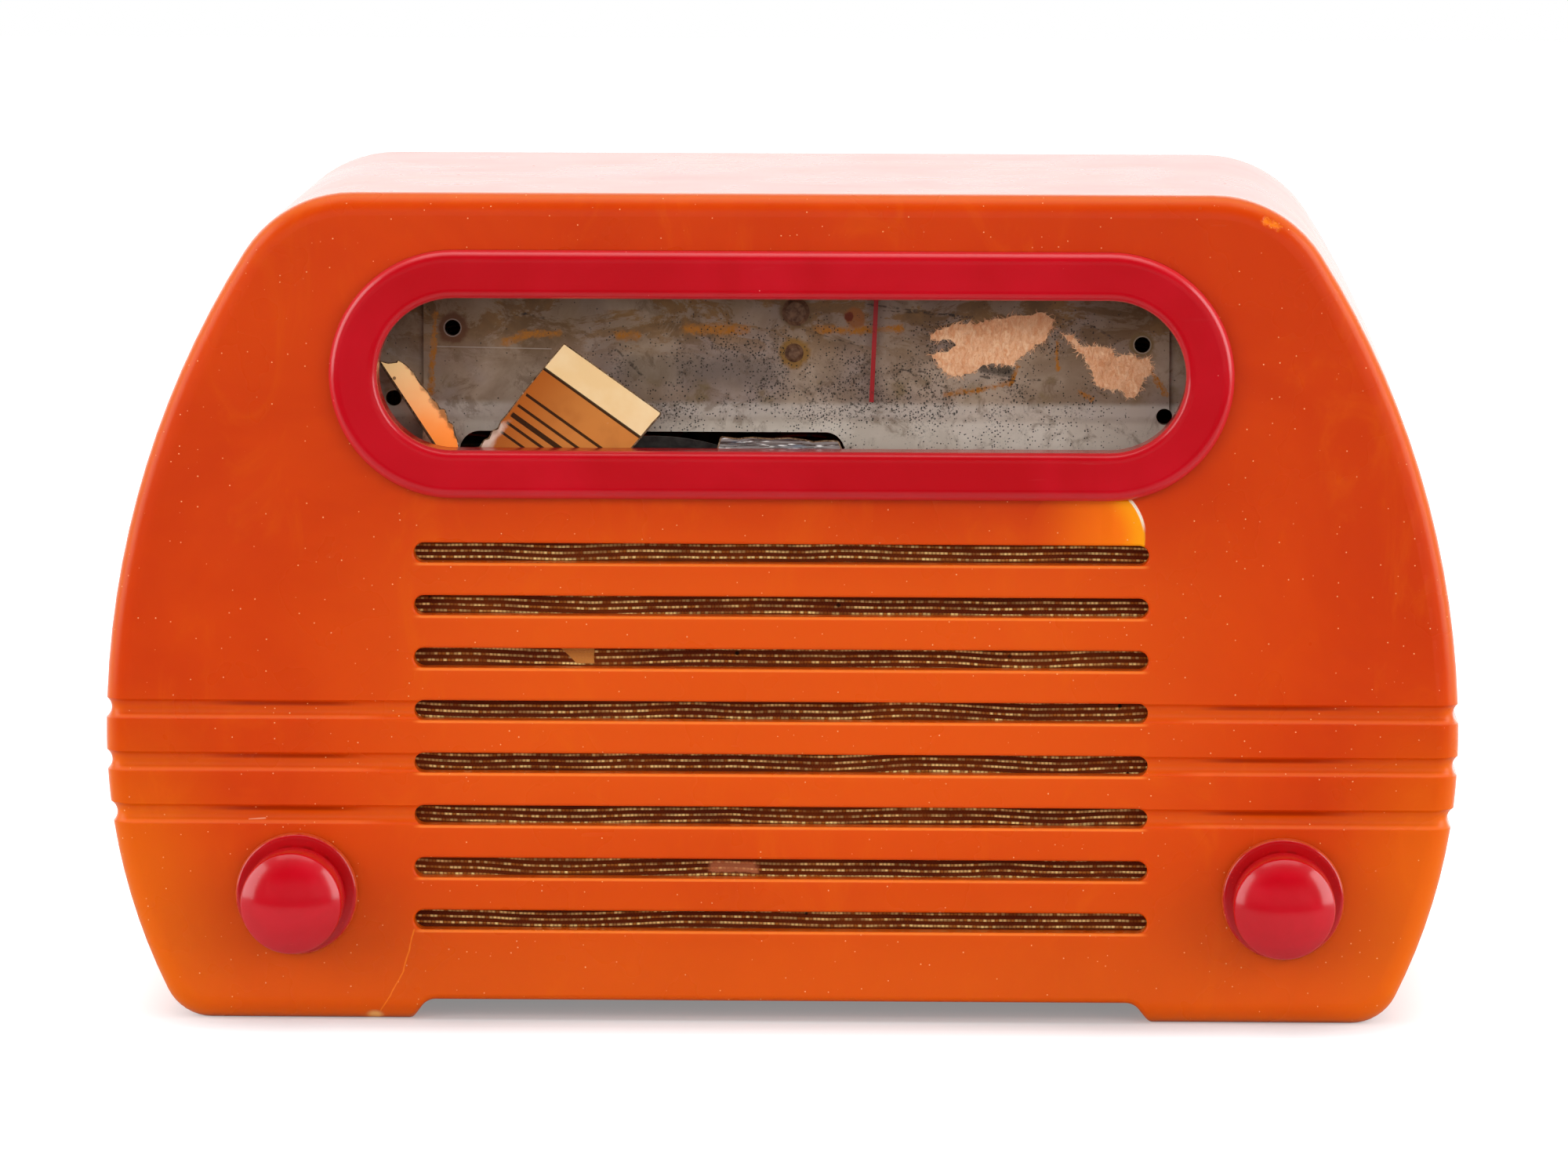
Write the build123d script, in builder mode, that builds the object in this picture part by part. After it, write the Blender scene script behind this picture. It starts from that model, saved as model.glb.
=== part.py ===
from build123d import *
import os
from math import asin, atan2, cos, degrees, hypot, radians, sin, sqrt

# A small mains table radio. X runs to the listener's right, Y away from the listener, Z up, in millimetres.
# The origin is on the table, under the middle of the box that the whole radio fills.

# Cabinet casting
CABINET_WIDTH = 273.0
CABINET_HEIGHT = 167.4
CABINET_DEPTH = 140.0
WALL = 6.0
FRONT_WALL = 5.0
WIDEST_HEIGHT = 58.0
LOWER_SIDE_RADIUS = 118.0
UPPER_SIDE_RADIUS = 182.0
TOP_CORNER_RADIUS = 26.0
BOTTOM_CORNER_RADIUS = 10.0
FRONT_EDGE_RADIUS = 4.5
REAR_EDGE_RADIUS = 1.2
FOOT_HEIGHT = 4.2
FOOT_GAP = 149.0
FOOT_SLOPE = 3.0
FOOT_HOLLOW_RADIUS = 3.5
FOOT_EDGE_RADIUS = 1.2

# Sound slots, and the grooves that carry three of them round the sides
SLOT_LENGTH = 147.9
SLOT_HEIGHT = 4.0
SLOT_PITCH = 10.647
SLOT_EDGE_RADIUS = 0.6
SLOT_DROP = 36.2
GRILLE_FOOT_ROOM = 8.5
PLAIN_SLOT_COUNT = 3
GROOVE_COUNT = 3
GROOVE_RADIUS = 2.5
GROOVE_DEPTH = 1.0

# Dial opening and bezel
DIAL_DROP = 36.2
WINDOW_LENGTH = 162.4
WINDOW_HEIGHT = 30.6
BEZEL_RIM = 9.7
BEZEL_PROUD = 4.2
BEZEL_EDGE_RADIUS = 2.4
BEZEL_LIP_RADIUS = 2.0
SPIGOT_WALL = 2.5
SPIGOT_CLEARANCE = 0.15

# Knobs and the shafts that they grip
KNOB_SIDE_ROOM = 37.08
KNOB_HEIGHT = 26.0
CHASSIS_SHIFT = 1.86
KNOB_REACH = 22.5
KNOB_GAP = 0.7
KNOB_FLANGE_RADIUS = 12.3
KNOB_FLANGE_THICKNESS = 3.2
KNOB_NECK_RADIUS = 8.8
KNOB_NECK_LENGTH = 3.6
KNOB_CAP_RADIUS = 10.2
KNOB_CAP_DOME = 4.4
KNOB_CAP_EDGE_RADIUS = 1.2
KNOB_FLANGE_EDGE_RADIUS = 1.0
KNOB_UNDERCUT = 1.2
KNOB_FACE_WALL = 6.5
SHAFT_RADIUS = 3.175
SHAFT_HOLE_ROOM = 1.3
RUNNING_CLEARANCE = 0.05

# Grille cloth, baffle board and speaker
CLOTH_THICKNESS = 0.6
BOARD_THICKNESS = 3.0
BOARD_SIDE_ROOM = 10.0
BOARD_FLOOR_ROOM = 0.5
BOARD_DIAL_DROP = 20.2
PEG_RADIUS = 2.5
PEG_INSET = 5.5
PEG_CLEARANCE = 0.3
PEG_TAIL = 2.4
PUSH_NUT_RADIUS = 5.0
PUSH_NUT_THICKNESS = 0.8
SPEAKER_OFFSET = -26.5
SPEAKER_FLOOR_ROOM = 5.8
SPEAKER_RISE = 7.0
SPEAKER_SHEET = 1.0
SPEAKER_RIM_WIDTH = 5.6
BASKET_DEPTH = 22.0
BASKET_BACK_RADIUS = 27.0
BASKET_WINDOWS = 4
SOUND_HOLE_ROOM = 11.0
SPEAKER_SCREW_COUNT = 4
SPEAKER_SCREW_START = 45.0
SPEAKER_SCREW_RADIUS = 1.4
SPEAKER_SCREW_HEAD_RADIUS = 1.8
SPEAKER_SCREW_HEAD = 1.6
SPEAKER_SCREW_INSET = 2.1
CONE_THICKNESS = 0.6
CONE_DEPTH = 16.0
CONE_EDGE_ROOM = 2.9
CONE_FRONT_ROOM = 1.6
DUST_CAP_RISE = 4.0
COIL_RADIUS = 10.4
COIL_WALL = 0.7
COIL_LENGTH = 12.0
COIL_GAP = 0.6
MAGNET_RADIUS = 17.0
MAGNET_DEPTH = 20.0
MAGNET_PLATE = 4.0

# Chassis pan and what stands on it
CHASSIS_FRONT_DEPTH = 36.0
CHASSIS_DEPTH = 81.0
CHASSIS_HEIGHT = 34.0
CHASSIS_END_ROOM = 15.0
CHASSIS_SHEET = 1.0
CHASSIS_CORNER_RADIUS = 3.0
CHASSIS_LIP = 12.0
CHASSIS_SCREW_SPACING = 120.0
SCREW_RADIUS = 2.0
SCREW_CLEARANCE = 0.1
SCREW_HEAD_RADIUS = 4.6
SCREW_HEAD = 3.0
SCREW_TAIL = 2.0
TUBE_COUNT = 5
TUBE_PITCH = 36.0
TUBE_ROW_ROOM = 18.0
SOCKET_RADIUS = 13.0
SOCKET_FLANGE_RADIUS = 16.0
SOCKET_FLANGE = 1.2
SOCKET_BODY = 9.0
TUBE_BASE_RADIUS = 15.5
TUBE_BASE_HEIGHT = 20.0
TUBE_GLASS_RADIUS = 14.2
TUBE_GLASS_HEIGHT = 52.0
TUBE_GLASS_WALL = 1.2
TUBE_SHOULDER_RADIUS = 9.0
IF_CAN_WIDTH = 20.0
IF_CAN_HEIGHT = 58.0
IF_CAN_WALL = 0.8
IF_CAN_SPACING = 22.0
IF_CAN_OFFSET = 44.0
IF_CAN_FRONT_ROOM = 26.5
FILTER_RADIUS = 10.0
FILTER_HEIGHT = 56.0
FILTER_OFFSET = 20.0
FILTER_FRONT_ROOM = 26.5
TRANSFORMER_OFFSET = 51.0
TRANSFORMER_FRONT_ROOM = 26.5
TRANSFORMER_WIDTH = 34.0
TRANSFORMER_HEIGHT = 28.0
TRANSFORMER_STACK = 12.0
TRANSFORMER_LEG = 6.0
TRANSFORMER_WINDING = 4.0
PAPER_CAPACITOR_RADIUS = 5.0
PAPER_CAPACITOR_LENGTH = 32.0
PAPER_CAPACITOR_COUNT = 5
PAPER_CAPACITOR_FRONT_ROOM = 21.0
RESISTOR_RADIUS = 2.2
RESISTOR_LENGTH = 11.0
RESISTOR_COUNT = 6
COMPONENT_PITCH = 14.0

# Tuning gang, drum and cord drive
GANG_OFFSET = 31.64
GANG_FRONT_ROOM = 3.0
GANG_LENGTH = 33.0
GANG_WIDTH = 40.0
GANG_HEIGHT = 52.0
GANG_SHEET = 1.2
GANG_SHAFT_HEIGHT = 28.0
ROTOR_RADIUS = 17.0
ROTOR_PLATES = 5
ROTOR_PITCH = 2.4
ROTOR_SHEET = 0.6
STATOR_INNER_RADIUS = 6.0
STATOR_ROD_RADIUS = 1.5
STATOR_ROD_ANGLE = 30.0
STATOR_CLEARANCE = 0.5
DRUM_RADIUS = 35.0
DRUM_WIDTH = 5.0
DRUM_RIM = 4.0
DRUM_WEB = 1.4
DRUM_FLANGE = 1.5
DRUM_FLANGE_THICKNESS = 1.0
DRUM_HUB_RADIUS = 8.0
DRUM_HUB_LENGTH = 11.0
DRUM_HOLES = 5
DRUM_HOLE_RADIUS = 5.5
CORD_DEPTH = 26.0
CORD_RADIUS = 0.4
CORD_CLEARANCE = 0.3
CORD_ANCHOR_GAP = 6.0
PULLEY_RADIUS = 6.0
PULLEY_WIDTH = 3.2
PULLEY_FLANGE = 1.2
PULLEY_FLANGE_THICKNESS = 0.6
PULLEY_SPREAD = 74.0
STUD_RADIUS = 1.6
STUD_HEAD_RADIUS = 2.6
STUD_HEAD = 1.0
POINTER_TRAVEL = 110.0
POINTER_REST = 18.5
POINTER_WIDTH = 0.9
POINTER_THICKNESS = 0.8
POINTER_LEAN = 2.5
POINTER_FOOT = 0.8
CARRIAGE_WIDTH = 12.0
CARRIAGE_SHEET = 0.8
CARRIAGE_LIP = 5.4
CARRIAGE_CLEARANCE = 0.3

# Control bushings behind the knobs
BUSHING_RADIUS = 4.75
BUSHING_LENGTH = 6.0
BUSHING_COLLAR_RADIUS = 7.0
BUSHING_COLLAR = 3.0
NUT_RADIUS = 7.0
NUT_THICKNESS = 2.6
TUNING_SHAFT_TAIL = 4.0
CLIP_RADIUS = 5.6
CLIP_THICKNESS = 1.0
CLIP_CLEARANCE = 0.3
VOLUME_CAN_RADIUS = 12.0
VOLUME_CAN_DEPTH = 20.0
VOLUME_SHAFT_SOCKET = 5.0

# Dial plate, its brackets and what is on it
PLATE_DEPTH = 17.0
PLATE_SHEET = 0.9
PLATE_LEFT = -73.0
PLATE_RIGHT = 78.0
PLATE_TOP_RISE = 24.2
PLATE_BEND_DROP = 7.7
LEDGE_FRONT_DEPTH = 12.5
LEDGE_DROP = 19.2
PLATE_BEND_RADIUS = 1.6
LEDGE_NOTCH_WIDTH = 78.0
LEDGE_NOTCH_DROP = 12.8
LEDGE_NOTCH_RADIUS = 4.0
PLATE_HOLE_RADIUS = 1.6
PLATE_HOLES = ((-67.1, 7.9), (72.5, 5.0), (77.0, -9.5))
BRACKET_HOLE = (-79.1, -6.5)
BRACKET_SHEET = 1.0
BRACKET_OVERLAP = 7.0
BRACKET_TAB_RISE = 19.0
BRACKET_TAB_DROP = 15.2
BRACKET_TONGUE_ROOM = 10.0
BRACKET_SHELF_LAP = 4.0
BRACKET_WALL_ROOM = 3.0
BRACKET_STRAP_WIDTH = 10.0
BRACKET_END_ROOM = 6.0
BRACKET_FOOT = 12.0
RIVET_PLACES = ((2.4, 11.4, 2.8), (2.1, 3.1, 1.9))
RIVET_SHANK_RADIUS = 1.2
RIVET_HEAD = 0.8
STIFFENER_WIDTH = 12.0
STIFFENER_RISE = 16.5
STIFFENER_DROP = 4.5
FELT_THICKNESS = 0.8
FELT_OUTLINES = (
    ((29.4, 2.9), (31.8, 6.4), (46.0, 10.8), (53.1, 11.3), (54.0, 5.7), (47.6, 2.5), (32.6, -1.9)),
    ((55.9, 7.3), (61.9, 2.6), (74.6, 3.4), (74.6, -0.6), (71.4, -5.8), (63.5, -3.0), (62.7, 0.2)),
)
LAMP_END_ROOM = 9.4
LAMP_RISE = 7.0
LAMP_SOCKET_RADIUS = 6.0
LAMP_SOCKET_LENGTH = 14.0
LAMP_NECK_RADIUS = 4.6
LAMP_GLASS_RADIUS = 5.2
LAMP_LENGTH = 9.0

# Broken pieces of the glass dial scale, standing on the baffle board's top edge
GLASS_THICKNESS = 2.4
GLASS_WEDGE_ROOM = 0.15
LARGE_FRAGMENT_LEAN = 7.5
SMALL_FRAGMENT_LEAN = 22.0
CLEAR_FRAGMENT_LEAN = 7.0

# Back panel, its screws, the aerial and the cord's grommet
REBATE_WALL = 2.6
REBATE_DEPTH = 6.0
PANEL_THICKNESS = 3.0
PANEL_CLEARANCE = 0.3
BOSS_RADIUS = 6.0
BOSS_INSET = 2.5
BOSS_LENGTH = 14.0
BOSS_TOP_DROP = 27.0
BOSS_FOOT_RISE = 24.0
PANEL_SCREW_RADIUS = 1.75
PANEL_SCREW_LENGTH = 10.0
PANEL_SCREW_HEAD_RADIUS = 4.0
PANEL_SCREW_SLOT = 0.9
PANEL_SCREW_TURN = 35.0
PANEL_SCREW_HEAD = 2.2
VENT_RADIUS = 4.0
VENT_PITCH = 14.0
VENT_COLUMNS = 9
VENT_ROWS = 3
VENT_CENTRE_RISE = 69.0
LOOP_WIDTH = 190.0
LOOP_HEIGHT = 104.0
LOOP_BAND = 14.0
LOOP_THICKNESS = 2.4
LOOP_CORNER_RADIUS = 24.0
LOOP_CENTRE_RISE = 88.0
GROMMET_OFFSET = -70.0
GROMMET_RISE = 24.0
GROMMET_BORE_RADIUS = 3.5
GROMMET_NECK_RADIUS = 6.4
GROMMET_LIP_RADIUS = 8.6
GROMMET_LIP = 2.0

# Levels and places that follow from the sizes above
front_y = (KNOB_REACH - CABINET_DEPTH) / 2
half_width = CABINET_WIDTH / 2
inner_floor = FOOT_HEIGHT + WALL
dial_z = CABINET_HEIGHT - DIAL_DROP
top_slot_z = dial_z - SLOT_DROP
slot_count = 1 + int((top_slot_z - inner_floor - GRILLE_FOOT_ROOM) / SLOT_PITCH)
slot_heights = [top_slot_z - SLOT_PITCH * number for number in range(slot_count)]
knob_spread = half_width - KNOB_SIDE_ROOM
volume_x = CHASSIS_SHIFT - knob_spread
tuning_x = CHASSIS_SHIFT + knob_spread
control_places = ((volume_x, KNOB_HEIGHT), (tuning_x, KNOB_HEIGHT))
cloth_back = FRONT_WALL + CLOTH_THICKNESS
board_back = cloth_back + BOARD_THICKNESS
board_half_width = SLOT_LENGTH / 2 + BOARD_SIDE_ROOM
board_foot = inner_floor + BOARD_FLOOR_ROOM
board_top = dial_z - BOARD_DIAL_DROP
board_height = board_top - board_foot
speaker_radius = (board_top + SPEAKER_RISE - inner_floor - SPEAKER_FLOOR_ROOM) / 2
speaker_z = inner_floor + SPEAKER_FLOOR_ROOM + speaker_radius
basket_back = board_back + BASKET_DEPTH
chassis_top = inner_floor + CHASSIS_HEIGHT
chassis_half_width = knob_spread + CHASSIS_END_ROOM
chassis_left = CHASSIS_SHIFT - chassis_half_width
chassis_back_depth = CHASSIS_FRONT_DEPTH + CHASSIS_DEPTH
panel_seat_depth = CABINET_DEPTH - REBATE_DEPTH
apron_back = CHASSIS_FRONT_DEPTH + CHASSIS_SHEET
gang_x = (PULLEY_SPREAD + tuning_x) / 2 - GANG_OFFSET
gang_z = chassis_top + GANG_SHAFT_HEIGHT
gang_front = apron_back + GANG_FRONT_ROOM
gang_back = gang_front + GANG_LENGTH
plate_back = PLATE_DEPTH + PLATE_SHEET
bracket_back = plate_back + BRACKET_SHEET
plate_top = dial_z + PLATE_TOP_RISE
carriage_z = plate_top + CARRIAGE_CLEARANCE
cord_run_z = carriage_z + CARRIAGE_SHEET + CORD_CLEARANCE + CORD_RADIUS
pulley_z = cord_run_z - PULLEY_RADIUS
shaft_pitch_radius = SHAFT_RADIUS + CORD_CLEARANCE + CORD_RADIUS
shaft_end = KNOB_FACE_WALL - KNOB_REACH


def front_plane(depth, height=0):
    """A plane facing the listener, this far behind the front face: x is X, y is Z above a height."""
    return Plane(origin=(0, front_y + depth, height), x_dir=(1, 0, 0), z_dir=(0, -1, 0))


def turning_plane(x, z):
    """A plane through a front-to-back axis: x is the radius, y the depth behind the front face."""
    return Plane(origin=(x, front_y, z))


def turning_axis(x, z):
    return Axis((x, front_y, z), (0, 1, 0))


def half_width_at(z):
    """Half the cabinet's width at a height below its top corners."""
    radius = UPPER_SIDE_RADIUS if z > WIDEST_HEIGHT else LOWER_SIDE_RADIUS
    return half_width - radius + sqrt(radius**2 - (z - WIDEST_HEIGHT) ** 2)


# Cabinet: the end outline, then the casting with its openings
lower_sweep = degrees(asin(WIDEST_HEIGHT / LOWER_SIDE_RADIUS))
upper_sweep = degrees(asin((CABINET_HEIGHT - WIDEST_HEIGHT) / UPPER_SIDE_RADIUS))
with BuildSketch() as cabinet_outline:
    with BuildLine():
        lower_side = CenterArc(
            (half_width - LOWER_SIDE_RADIUS, WIDEST_HEIGHT), LOWER_SIDE_RADIUS, -lower_sweep, lower_sweep
        )
        upper_side = CenterArc(
            (half_width - UPPER_SIDE_RADIUS, WIDEST_HEIGHT), UPPER_SIDE_RADIUS, 0, upper_sweep
        )
        mirror(about=Plane.YZ)
        Line(lower_side @ 0, (-(lower_side @ 0).X, 0))
        Line(upper_side @ 1, (-(upper_side @ 1).X, CABINET_HEIGHT))
    make_face()
    fillet(cabinet_outline.vertices().group_by(Axis.Y)[-1], TOP_CORNER_RADIUS)
    fillet(cabinet_outline.vertices().group_by(Axis.Y)[0], BOTTOM_CORNER_RADIUS)

board_pegs = [
    (side * (board_half_width - PEG_INSET), z)
    for side in (-1, 1)
    for z in (board_foot + PEG_INSET, board_top - PEG_INSET)
]
chassis_screws_at = [
    (CHASSIS_SHIFT + side * CHASSIS_SCREW_SPACING / 2, front_y + depth)
    for side in (-1, 1)
    for depth in (apron_back + CHASSIS_LIP / 2, chassis_back_depth - CHASSIS_SHEET - CHASSIS_LIP / 2)
]
panel_screws_at = [
    (side * (half_width_at(z) - WALL - BOSS_INSET), z)
    for side in (-1, 1)
    for z in (CABINET_HEIGHT - BOSS_TOP_DROP, BOSS_FOOT_RISE)
]
opening_height = WINDOW_HEIGHT + 2 * (SPIGOT_WALL + SPIGOT_CLEARANCE)
opening_length = WINDOW_LENGTH + 2 * (SPIGOT_WALL + SPIGOT_CLEARANCE)
peg_end = board_back + PEG_TAIL
groove_standoff = GROOVE_RADIUS - GROOVE_DEPTH
groove_start = (SLOT_LENGTH - SLOT_HEIGHT) / 2

with BuildPart() as cabinet:
    with BuildSketch(front_plane(CABINET_DEPTH)):
        add(cabinet_outline.sketch)
    extrude(amount=CABINET_DEPTH)
    fillet(cabinet.faces().sort_by(Axis.Y)[0].edges(), FRONT_EDGE_RADIUS)
    fillet(cabinet.faces().sort_by(Axis.Y)[-1].edges(), REAR_EDGE_RADIUS)
    with BuildSketch(front_plane(CABINET_DEPTH)) as foot_hollow:
        with BuildLine():
            Polyline(
                (-FOOT_GAP / 2, 0),
                (FOOT_SLOPE - FOOT_GAP / 2, FOOT_HEIGHT),
                (FOOT_GAP / 2 - FOOT_SLOPE, FOOT_HEIGHT),
                (FOOT_GAP / 2, 0),
                close=True,
            )
        make_face()
        fillet(foot_hollow.vertices().group_by(Axis.Y)[-1], FOOT_HOLLOW_RADIUS)
    extrude(amount=CABINET_DEPTH, mode=Mode.SUBTRACT)
    runner_edges = cabinet.edges().filter_by(Axis.Y).group_by(Axis.Z)[0]
    foot_edges = runner_edges.sort_by(lambda edge: abs(edge.center().X))
    fillet(foot_edges[:2], FOOT_EDGE_RADIUS)
    with BuildSketch(front_plane(CABINET_DEPTH)):
        add(cabinet_outline.sketch)
        offset(amount=-WALL)
        with Locations((0, inner_floor)):
            Rectangle(CABINET_WIDTH, inner_floor, align=(Align.CENTER, Align.MAX), mode=Mode.SUBTRACT)
    extrude(amount=CABINET_DEPTH - FRONT_WALL, mode=Mode.SUBTRACT)
    with BuildSketch(front_plane(CABINET_DEPTH)):
        add(cabinet_outline.sketch)
        offset(amount=-REBATE_WALL)
        with Locations((0, FOOT_HEIGHT + REBATE_WALL)):
            Rectangle(CABINET_WIDTH, CABINET_HEIGHT, align=(Align.CENTER, Align.MAX), mode=Mode.SUBTRACT)
    extrude(amount=REBATE_DEPTH, mode=Mode.SUBTRACT)
    with BuildSketch(front_plane(FRONT_WALL)):
        with Locations(*[(0, z) for z in slot_heights]):
            SlotOverall(SLOT_LENGTH, SLOT_HEIGHT)
    extrude(amount=FRONT_WALL, mode=Mode.SUBTRACT)
    slot_edges = cabinet.faces().sort_by(Axis.Y)[0].inner_wires().edges()
    fillet(slot_edges, SLOT_EDGE_RADIUS)
    with BuildSketch(front_plane(FRONT_WALL)):
        with Locations((0, dial_z)):
            SlotOverall(opening_length, opening_height)
        with Locations(*control_places):
            Circle(SHAFT_RADIUS + SHAFT_HOLE_ROOM)
    extrude(amount=FRONT_WALL, mode=Mode.SUBTRACT)
    for side in (-1, 1):
        for z in slot_heights[PLAIN_SLOT_COUNT : PLAIN_SLOT_COUNT + GROOVE_COUNT]:
            groove_x = half_width_at(z) + groove_standoff
            groove_y = front_y - groove_standoff
            with BuildLine():
                groove = FilletPolyline(
                    (side * groove_start, groove_y, z),
                    (side * groove_x, groove_y, z),
                    (side * groove_x, front_y + CABINET_DEPTH + groove_standoff, z),
                    radius=FRONT_EDGE_RADIUS + groove_standoff,
                )
            with BuildSketch(Plane(origin=groove @ 0, z_dir=groove % 0)):
                Circle(GROOVE_RADIUS)
            sweep(path=groove, mode=Mode.SUBTRACT)
    with BuildSketch(front_plane(peg_end)):
        with Locations(*board_pegs):
            Circle(PEG_RADIUS)
    extrude(amount=peg_end - FRONT_WALL)
    with BuildSketch(front_plane(panel_seat_depth)):
        with Locations(*panel_screws_at):
            Circle(BOSS_RADIUS)
    extrude(amount=BOSS_LENGTH)
    with BuildSketch(front_plane(panel_seat_depth)):
        with Locations(*panel_screws_at):
            Circle(PANEL_SCREW_RADIUS + SCREW_CLEARANCE)
    extrude(amount=PANEL_SCREW_LENGTH, mode=Mode.SUBTRACT)
    with BuildSketch(Plane.XY.offset(FOOT_HEIGHT)):
        with Locations(*chassis_screws_at):
            Circle(SCREW_RADIUS + SCREW_CLEARANCE)
    extrude(amount=WALL, mode=Mode.SUBTRACT)

# Dial bezel: a rounded ring on the front face, with a spigot in the dial opening
with BuildPart() as dial_bezel:
    with BuildSketch(front_plane(0)):
        with Locations((0, dial_z)):
            SlotOverall(WINDOW_LENGTH + 2 * BEZEL_RIM, WINDOW_HEIGHT + 2 * BEZEL_RIM)
    extrude(amount=BEZEL_PROUD)
    fillet(dial_bezel.faces().sort_by(Axis.Y)[0].edges(), BEZEL_EDGE_RADIUS)
    with BuildSketch(front_plane(FRONT_WALL)):
        with Locations((0, dial_z)):
            SlotOverall(WINDOW_LENGTH + 2 * SPIGOT_WALL, WINDOW_HEIGHT + 2 * SPIGOT_WALL)
    extrude(amount=FRONT_WALL)
    with BuildSketch(front_plane(FRONT_WALL)):
        with Locations((0, dial_z)):
            SlotOverall(WINDOW_LENGTH, WINDOW_HEIGHT)
    extrude(amount=FRONT_WALL + BEZEL_PROUD, mode=Mode.SUBTRACT)
    fillet(dial_bezel.faces().sort_by(Axis.Y)[0].inner_wires().edges(), BEZEL_LIP_RADIUS)

# Knobs: turned, with a flange, a neck and a domed cap, bored for the shaft
dome_radius = (KNOB_CAP_RADIUS**2 + KNOB_CAP_DOME**2) / (2 * KNOB_CAP_DOME)
dome_angle = degrees(asin(KNOB_CAP_RADIUS / dome_radius))
flange_front = -(KNOB_GAP + KNOB_FLANGE_THICKNESS)
cap_back = flange_front - KNOB_NECK_LENGTH
knobs = {}
for knob_name, knob_x in (("volume_knob", volume_x), ("tuning_knob", tuning_x)):
    with BuildPart() as knob:
        with BuildSketch(turning_plane(knob_x, KNOB_HEIGHT)) as knob_profile:
            with BuildLine():
                dome = CenterArc((0, dome_radius - KNOB_REACH), dome_radius, -90, dome_angle)
                Polyline(
                    dome @ 1,
                    (KNOB_CAP_RADIUS, cap_back - KNOB_UNDERCUT),
                    (KNOB_NECK_RADIUS, cap_back),
                    (KNOB_NECK_RADIUS, flange_front),
                    (KNOB_FLANGE_RADIUS, flange_front),
                    (KNOB_FLANGE_RADIUS, -KNOB_GAP),
                    (SHAFT_RADIUS, -KNOB_GAP),
                    (SHAFT_RADIUS, shaft_end),
                    (0, shaft_end),
                    dome @ 0,
                )
            make_face()
            cap_corners = knob_profile.vertices().filter_by(lambda corner: corner.X > KNOB_NECK_RADIUS)
            fillet(cap_corners.sort_by(Axis.Y)[:1], KNOB_CAP_EDGE_RADIUS)
            flange_corners = knob_profile.vertices().group_by(Axis.X)[-1]
            fillet(flange_corners, KNOB_FLANGE_EDGE_RADIUS)
        revolve(axis=turning_axis(knob_x, KNOB_HEIGHT))
    knobs[knob_name] = knob

# Grille cloth and the baffle board that backs it, pushed over four pegs of the cabinet
with BuildPart() as grille_cloth:
    with BuildSketch(front_plane(cloth_back)):
        with Locations((0, board_foot)):
            Rectangle(2 * board_half_width, board_height - CLOTH_THICKNESS, align=(Align.CENTER, Align.MIN))
        with Locations(*board_pegs):
            Circle(PEG_RADIUS + PEG_CLEARANCE, mode=Mode.SUBTRACT)
        with Locations(*control_places):
            Circle(SHAFT_RADIUS + SHAFT_HOLE_ROOM, mode=Mode.SUBTRACT)
    extrude(amount=CLOTH_THICKNESS)

speaker_screw_circle = speaker_radius - SPEAKER_SCREW_INSET
with BuildPart() as baffle_board:
    with BuildSketch(front_plane(board_back)):
        with Locations((0, board_foot)):
            Rectangle(2 * board_half_width, board_height, align=(Align.CENTER, Align.MIN))
        with Locations((SPEAKER_OFFSET, speaker_z)):
            Circle(speaker_radius - SOUND_HOLE_ROOM, mode=Mode.SUBTRACT)
            with PolarLocations(speaker_screw_circle, SPEAKER_SCREW_COUNT, start_angle=SPEAKER_SCREW_START):
                Circle(SPEAKER_SCREW_RADIUS, mode=Mode.SUBTRACT)
        with Locations(*board_pegs):
            Circle(PEG_RADIUS + PEG_CLEARANCE, mode=Mode.SUBTRACT)
        with Locations(*control_places):
            Circle(SHAFT_RADIUS + SHAFT_HOLE_ROOM, mode=Mode.SUBTRACT)
    extrude(amount=BOARD_THICKNESS)

with BuildPart() as baffle_push_nuts:
    with BuildSketch(front_plane(board_back + PUSH_NUT_THICKNESS)):
        with Locations(*board_pegs):
            Circle(PUSH_NUT_RADIUS)
            Circle(PEG_RADIUS, mode=Mode.SUBTRACT)
    extrude(amount=PUSH_NUT_THICKNESS)

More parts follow.
